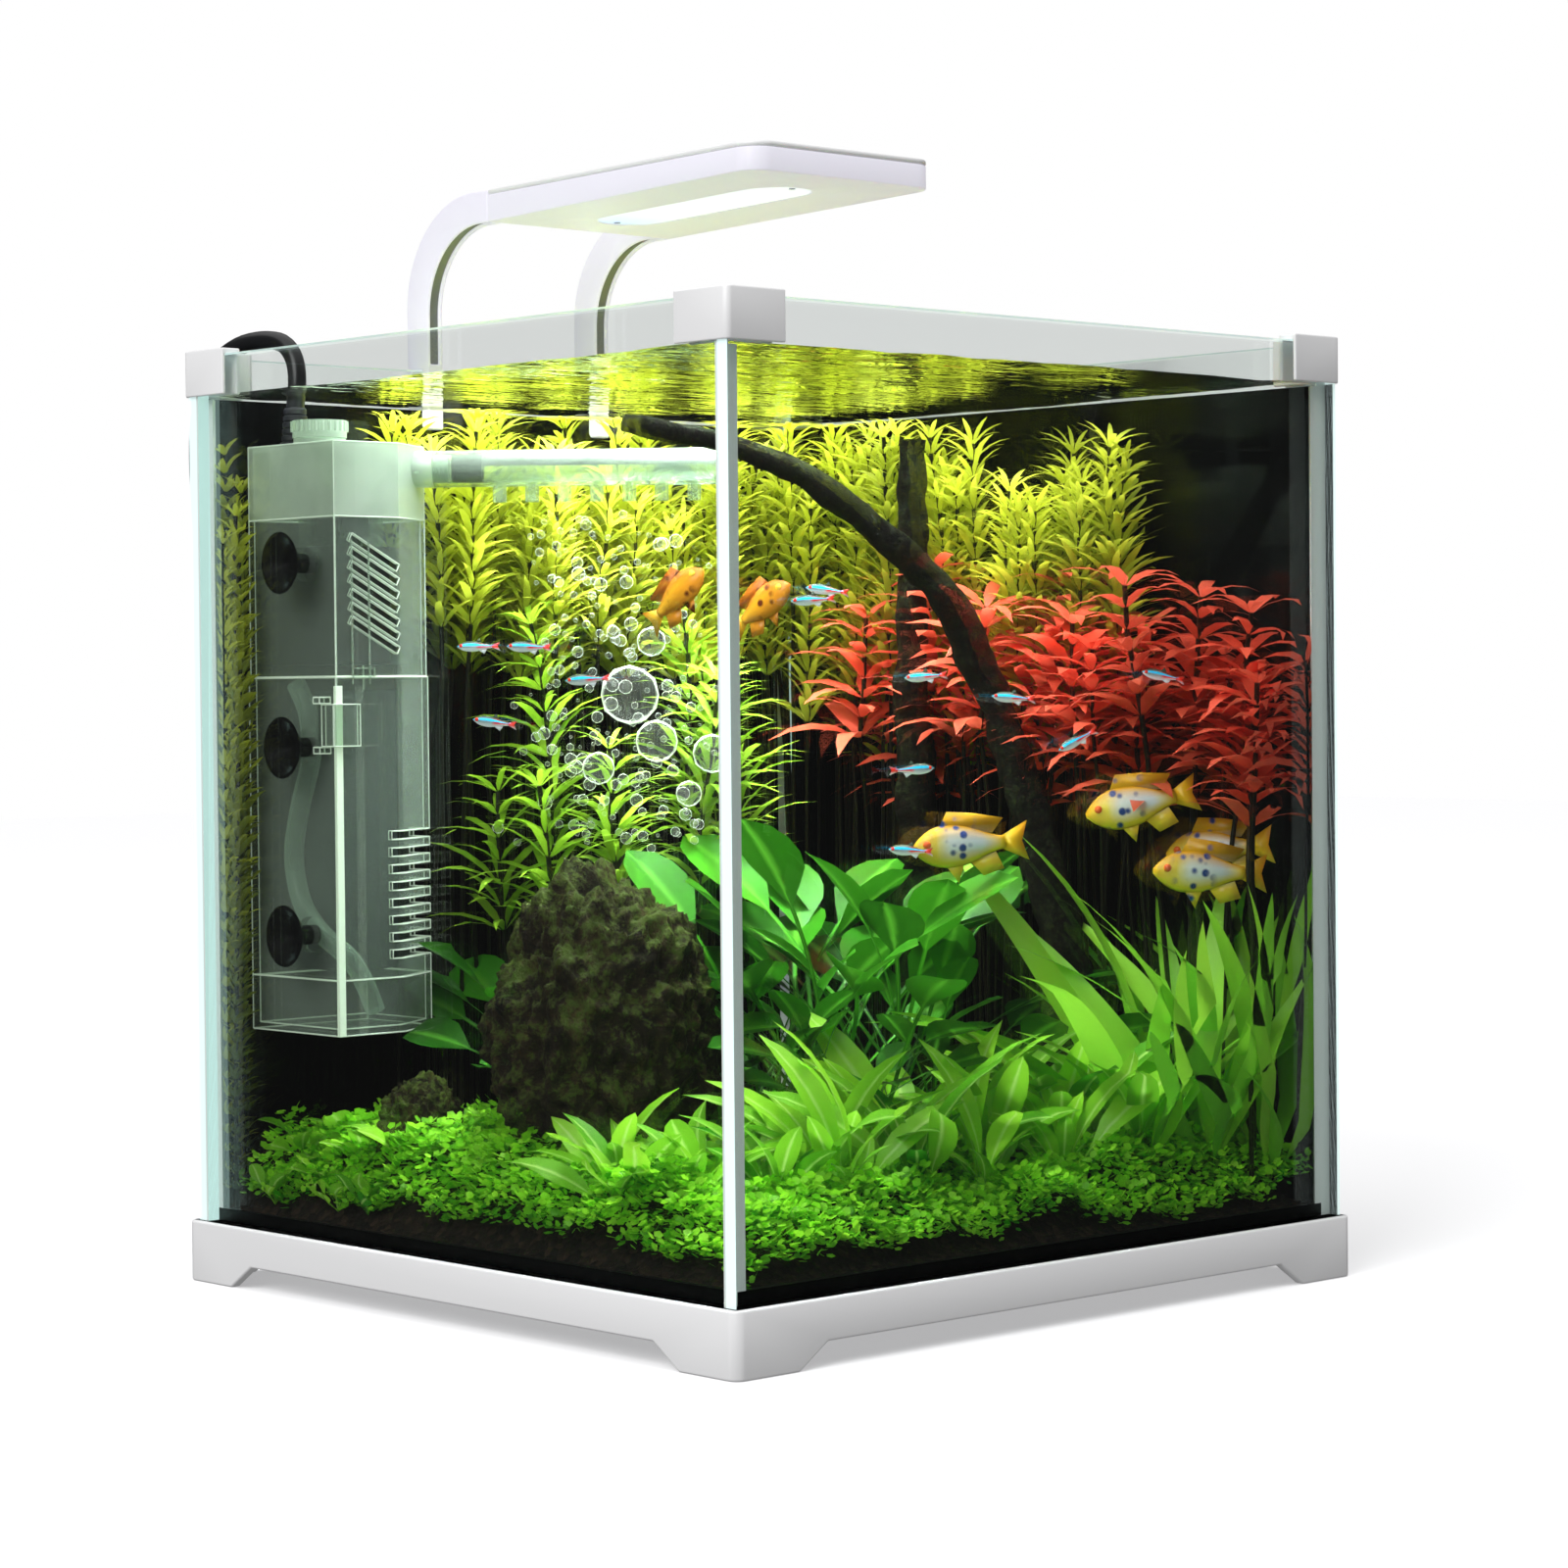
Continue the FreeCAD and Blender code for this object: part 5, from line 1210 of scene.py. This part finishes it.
def fishMaterial(name, stops, belly, back, stripe=None, spots=None):
    # Scaled skin under a film of water: the colour runs from nose to tail and from back to belly.
    material, add = newMaterial(name)
    along = add("ShaderNodeAttribute", attribute_name="noseToTail").outputs["Fac"]
    high = add("ShaderNodeAttribute", attribute_name="bellyToBack").outputs["Fac"]
    colour = add("ShaderNodeValToRGB", [along], stops=stops)
    for low, top, tint in ((0.62, 0.95, back), (0.42, 0.12, belly)):
        share = add("ShaderNodeMapRange", {0: high, 1: low, 2: top})
        colour = add("ShaderNodeMix", {0: share, 6: colour, 7: linear(tint)}, data_type="RGBA").outputs[2]
    if spots:
        place = add("ShaderNodeTexCoord").outputs["Object"]
        cells = add("ShaderNodeTexVoronoi", {"Vector": place, "Scale": 1 / (3.6 * millimetre)})
        dots = add("ShaderNodeMapRange", {0: cells.outputs["Distance"], 1: 0.42, 2: 0.25})
        away = add("ABSOLUTE", [add("SUBTRACT", [along, 0.36])])
        middle = add("ShaderNodeMapRange", {0: away, 1: 0.22, 2: 0.1})
        colour = add("ShaderNodeMix", {0: add("MULTIPLY", [dots, middle]), 6: colour, 7: linear(spots)},
                data_type="RGBA").outputs[2]
    glow = 0.0
    if stripe:
        away = add("ABSOLUTE", [add("SUBTRACT", [high, 0.66])])
        band = add("ShaderNodeMapRange", {0: away, 1: 0.15, 2: 0.07})
        front = add("ShaderNodeMapRange", {0: along, 1: 0.86, 2: 0.76})
        band = add("MULTIPLY", [band, front])
        colour = add("ShaderNodeMix", {0: band, 6: colour, 7: linear(stripe)}, data_type="RGBA").outputs[2]
        # the stripe glows: a painted shine standing in for its iridescent sheen
        glow = 0.5
    shader = add("ShaderNodeBsdfPrincipled", {"Base Color": colour, "Roughness": 0.25,
            "Emission Color": colour, "Emission Strength": glow})
    add("ShaderNodeOutputMaterial", {"Surface": shader})
    return material


def fishMesh(name, plan, place, heading, tip=0.0, bend=0.12):
    # a body of rings, with thin fins; it swims along its local -X, and its size is in millimetres
    long, deep, wide = plan["long"], plan["deep"], plan["wide"]
    rings, around = 16, 12
    vertices, faces, along, high = [], [], [], []

    def addPoint(x, y, z, a, h):
        sway = bend * long * 0.25 * math.sin(3.2 * a)
        vertices.append((x, y + sway, z))
        along.append(a)
        high.append(h)
        return len(vertices) - 1

    for ring in range(rings):
        a = ring / (rings - 1)
        shape = plan["shape"]
        spot = a * (len(shape) - 1)
        i = min(int(spot), len(shape) - 2)
        thick = shape[i] * (1 - (spot - i)) + shape[i + 1] * (spot - i)
        for k in range(around):
            turn = 2 * math.pi * k / around
            addPoint((a * 0.8) * long, wide / 2 * thick ** 0.8 * math.cos(turn),
                     deep / 2 * thick * math.sin(turn), a * 0.8, 0.5 + 0.5 * math.sin(turn))
    for ring in range(rings - 1):
        for k in range(around):
            b = ring * around + (k + 1) % around
            faces.append((ring * around + k, ring * around + k + around, b + around, b))
    faces.append(tuple(range(around)))
    faces.append(tuple(range(rings * around - 1, (rings - 1) * around - 1, -1)))
    for outline in plan["fins"]:
        for side in (-0.12, 0.12):
            loop = [addPoint(x * long, side, z * deep, x, 0.5 + z) for x, z in outline]
            faces.append(tuple(loop) if side > 0 else tuple(reversed(loop)))
        n = len(outline)
        first = len(vertices) - 2 * n
        for k in range(n):
            a, b = first + k, first + (k + 1) % n
            faces.append((a, b, b + n, a + n))
    eye = plan["eye"]
    for side in (-1, 1):
        mid = (eye[0] * long, side * wide * eye[2], eye[1] * deep)
        start = len(vertices)
        for ring in range(5):
            lift = math.pi * ring / 4
            for k in range(8):
                turn = 2 * math.pi * k / 8
                r = eye[3] * math.sin(lift) + 0.001
                addPoint(mid[0] + r * math.cos(turn), mid[1] + side * eye[3] * 0.5 * math.cos(lift),
                         mid[2] + r * math.sin(turn), 2.0, 0.5)
        for ring in range(4):
            for k in range(8):
                a, b = start + ring * 8 + k, start + ring * 8 + (k + 1) % 8
                faces.append((a, b, b + 8, a + 8))
    turn = Matrix.Rotation(math.radians(heading), 3, "Z") @ Matrix.Rotation(math.radians(tip), 3, "Y")
    middle = Vector((long / 2, 0, 0))
    placed = [tuple(turn @ (Vector(v) - middle) + Vector(place)) for v in vertices]
    mesh = meshFrom(name, placed, faces)
    for label, values in (("noseToTail", along), ("bellyToBack", high)):
        layer = mesh.attributes.new(label, "FLOAT", "POINT")
        layer.data.foreach_set("value", values)
    tidy = bmesh.new()
    tidy.from_mesh(mesh)
    bmesh.ops.remove_doubles(tidy, verts=tidy.verts, dist=2e-6)
    bmesh.ops.recalc_face_normals(tidy, faces=tidy.faces)
    tidy.to_mesh(mesh)
    tidy.free()
    return mesh


tetraPlan = {
    "long": 13.5, "deep": 3.3, "wide": 1.9, "eye": (0.09, 0.06, 0.30, 0.55),
    "shape": [0.06, 0.55, 0.82, 0.95, 1.0, 0.96, 0.86, 0.7, 0.52, 0.38, 0.3],
    "fins": [[(0.78, 0.1), (0.99, 0.42), (0.93, 0.0), (0.99, -0.42), (0.78, -0.1)],
             [(0.42, 0.42), (0.5, 0.78), (0.56, 0.4)], [(0.5, -0.4), (0.62, -0.7), (0.68, -0.25)]],
    "skin": fishMaterial("tetraSkin", [(0.0, "#5A7A78"), (0.42, "#8C9A9C"), (0.5, "#C81E1E"),
                                       (1.0, "#D8301E")],
                         "#C9D2D4", "#3A4A3C", stripe="#18C8FF"),
}
ramPlan = {
    "long": 35, "deep": 13, "wide": 5.4, "eye": (0.12, 0.08, 0.33, 1.25),
    "shape": [0.12, 0.55, 0.8, 0.94, 1.0, 1.0, 0.95, 0.84, 0.68, 0.5, 0.36, 0.3],
    "fins": [[(0.77, 0.14), (1.0, 0.46), (0.95, 0.0), (1.0, -0.46), (0.77, -0.14)],
             [(0.24, 0.44), (0.32, 0.8), (0.55, 0.72), (0.8, 0.56), (0.7, 0.24)],
             [(0.5, -0.4), (0.6, -0.74), (0.78, -0.6), (0.72, -0.2)],
             [(0.28, -0.44), (0.38, -0.86), (0.44, -0.42)]],
    "skin": fishMaterial("ramSkin", [(0.0, "#D8A818"), (0.2, "#E8D048"), (0.32, "#DCE4E0"), (0.6, "#C8D4DC"),
                                     (0.78, "#E8C820"), (0.93, "#F0B818"), (1.0, "#E86018")],
                         "#E8CC38", "#C89418", spots="#1E3E80"),
}
goldPlan = {**ramPlan, "long": 26, "deep": 10, "wide": 4.4,
            "skin": fishMaterial("goldenFishSkin", [(0.0, "#C87818"), (0.4, "#E8A020"), (1.0, "#F0C030")],
                                 "#D88A20", "#A85A14", spots="#5A1E10")}

# place in millimetres, heading of the tail and tip of the nose in degrees
shoal = [
    ("ramOne", ramPlan, (24.9, -64.9, 134.2), -36, -4),
    ("ramTwo", ramPlan, (82.2, -82.2, 145.2), -52, -12),
    ("ramThree", ramPlan, (92.0, -101.0, 124.4), -40, 2),
    ("ramFour", ramPlan, (100, -98, 131.0), -70, -6),
    ("goldOne", goldPlan, (-46.3, -13.7, 208.6), 100, 38),
    ("goldTwo", goldPlan, (-28, -31, 205.5), 96, 30),
    ("tetraOne", tetraPlan, (-77.2, 17.2, 194.5), -45, 2),
    ("tetraTwo", tetraPlan, (-74.0, -6.0, 184.7), -40, -3),
    ("tetraThree", tetraPlan, (-84.6, 24.6, 172.2), -50, 8),
    ("tetraFour", tetraPlan, (-17.5, -42.5, 207.6), -42, -3),
    ("tetraFive", tetraPlan, (35.8, -35.8, 184.8), -40, -4),
    ("tetraSix", tetraPlan, (44.6, -64.6, 178.0), -46, 5),
    ("tetraSeven", tetraPlan, (68.5, -68.5, 164.9), -40, -28),
    ("tetraEight", tetraPlan, (2.6, -62.6, 157.2), 140, 3),
    ("tetraNine", tetraPlan, (-61, 62, 195.3), -44, 0),
    ("tetraTen", tetraPlan, (7.4, -57.4, 132.9), -42, 4),
    ("tetraEleven", tetraPlan, (86, -88, 184.2), -40, 12),
    ("tetraTwelve", tetraPlan, (9.8, -19.8, 211.3), -38, 8),
]
for fishName, plan, place, heading, tip in shoal:
    addPiece(fishName, fishMesh(fishName, plan, place, heading, tip), "root", material=plan["skin"])
print("fish placed:", len(shoal))


# ---- floor and light

studioPlan = {
    "floorHalf": 4000, "floorColour": "#F4F4F5",   # millimetres
    "floorGlow": 0.25, "skyFill": 0.33, "skyShown": 1.0, "skyMirrored": 0.02,
    "strip": {"watts": 0.9, "below": 0.001, "spread": 80},   # metres below the lens, and degrees
    "spill": {"watts": 1.35, "wide": 0.21, "height": 0.2722, "spread": 150},   # metres, degrees
    "key": {"place": (-1500, -500, 1100), "aim": (0, 0, 150), "wide": 1100, "watts": 22, "colour": "#FFFFFF"},
    "overhead": {"strength": 1.75, "spread": 100},   # even light from above, spread in degrees
    "front": {"place": (700, -1500, 900), "aim": (0, 0, 150), "wide": 700, "watts": 0.2, "colour": "#F8FAFF"},
}


def makeFloor(plan):
    half = plan["floorHalf"]
    mesh = meshFrom("floor", [(-half, -half, 0), (half, -half, 0), (half, half, 0), (-half, half, 0)],
                    [(0, 1, 2, 3)], smooth=False)
    floor = bpy.data.objects.new("floor", mesh)
    scene.collection.objects.link(floor)
    mesh.materials.append(mouldedFinish("mattPaperSweep", plan["floorColour"], 0.9, 1.5, 4.0, 0.0,
                                        Emission_Color=linear(plan["floorColour"]),
                                        Emission_Strength=plan["floorGlow"]))
    floor.visible_glossy = floor.visible_diffuse = False


def makeLight(name, plan):
    lamp = bpy.data.lights.new(name, "AREA")
    lamp.size, lamp.energy = plan["wide"] * millimetre, plan["watts"]
    lamp.color = linear(plan["colour"])[:3]
    light = bpy.data.objects.new(name, lamp)
    place, aim = Vector(plan["place"]) * millimetre, Vector(plan["aim"]) * millimetre
    turn = (place - aim).to_track_quat("Z", "Y").to_matrix().to_4x4()
    light.matrix_world = Matrix.Translation(place) @ turn
    scene.collection.objects.link(light)


def makeOverhead(plan):
    lamp = bpy.data.lights.new("overhead", "SUN")
    lamp.energy, lamp.angle = plan["strength"], math.radians(plan["spread"])
    scene.collection.objects.link(bpy.data.objects.new("overhead", lamp))


def makeSky(plan):
    # an even pale surround that fills the shadows and hardly shows in the glass
    world = bpy.data.worlds.new("studio")
    world.use_nodes = True
    tree = world.node_tree
    tree.nodes.clear()
    ray = addNode(tree, "ShaderNodeLightPath")
    mirrored = addNode(tree, "ShaderNodeMix", {0: ray.outputs["Is Glossy Ray"], 2: plan["skyFill"],
                                               3: plan["skyMirrored"]})
    shown = addNode(tree, "ShaderNodeMix", {0: ray.outputs["Is Camera Ray"], 2: mirrored,
                                            3: plan["skyShown"]})
    light = addNode(tree, "ShaderNodeBackground", {"Color": (1, 1, 1, 1), "Strength": shown})
    addNode(tree, "ShaderNodeOutputWorld", {"Surface": light})
    scene.world = world


def makeLampLight(name, plan):
    # a downward light that belongs to the LED strip and moves with the lamp
    low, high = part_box("led_lens")
    lamp = bpy.data.lights.new(name, "AREA")
    lamp.shape = "RECTANGLE"
    lamp.size, lamp.size_y = plan.get("wide", high.x - low.x), plan.get("wide", high.y - low.y)
    lamp.energy, lamp.color, lamp.spread = plan["watts"], linear("#F3F7FF")[:3], math.radians(plan["spread"])
    light = bpy.data.objects.new(name, lamp)
    height = plan["height"] if "height" in plan else low.z - plan["below"]
    light.location = ((low.x + high.x) / 2, (low.y + high.y) / 2, height)
    light.visible_camera = light.visible_glossy = False
    scene.collection.objects.link(light)
    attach(light, "lamp")


makeFloor(studioPlan)
makeSky(studioPlan)
makeOverhead(studioPlan["overhead"])
for lightName in ("key", "front"):
    makeLight(lightName, studioPlan[lightName])
makeLampLight("ledStrip", studioPlan["strip"])
makeLampLight("ledSpill", studioPlan["spill"])
scene.view_settings.view_transform = "Standard"
print("studio lit")
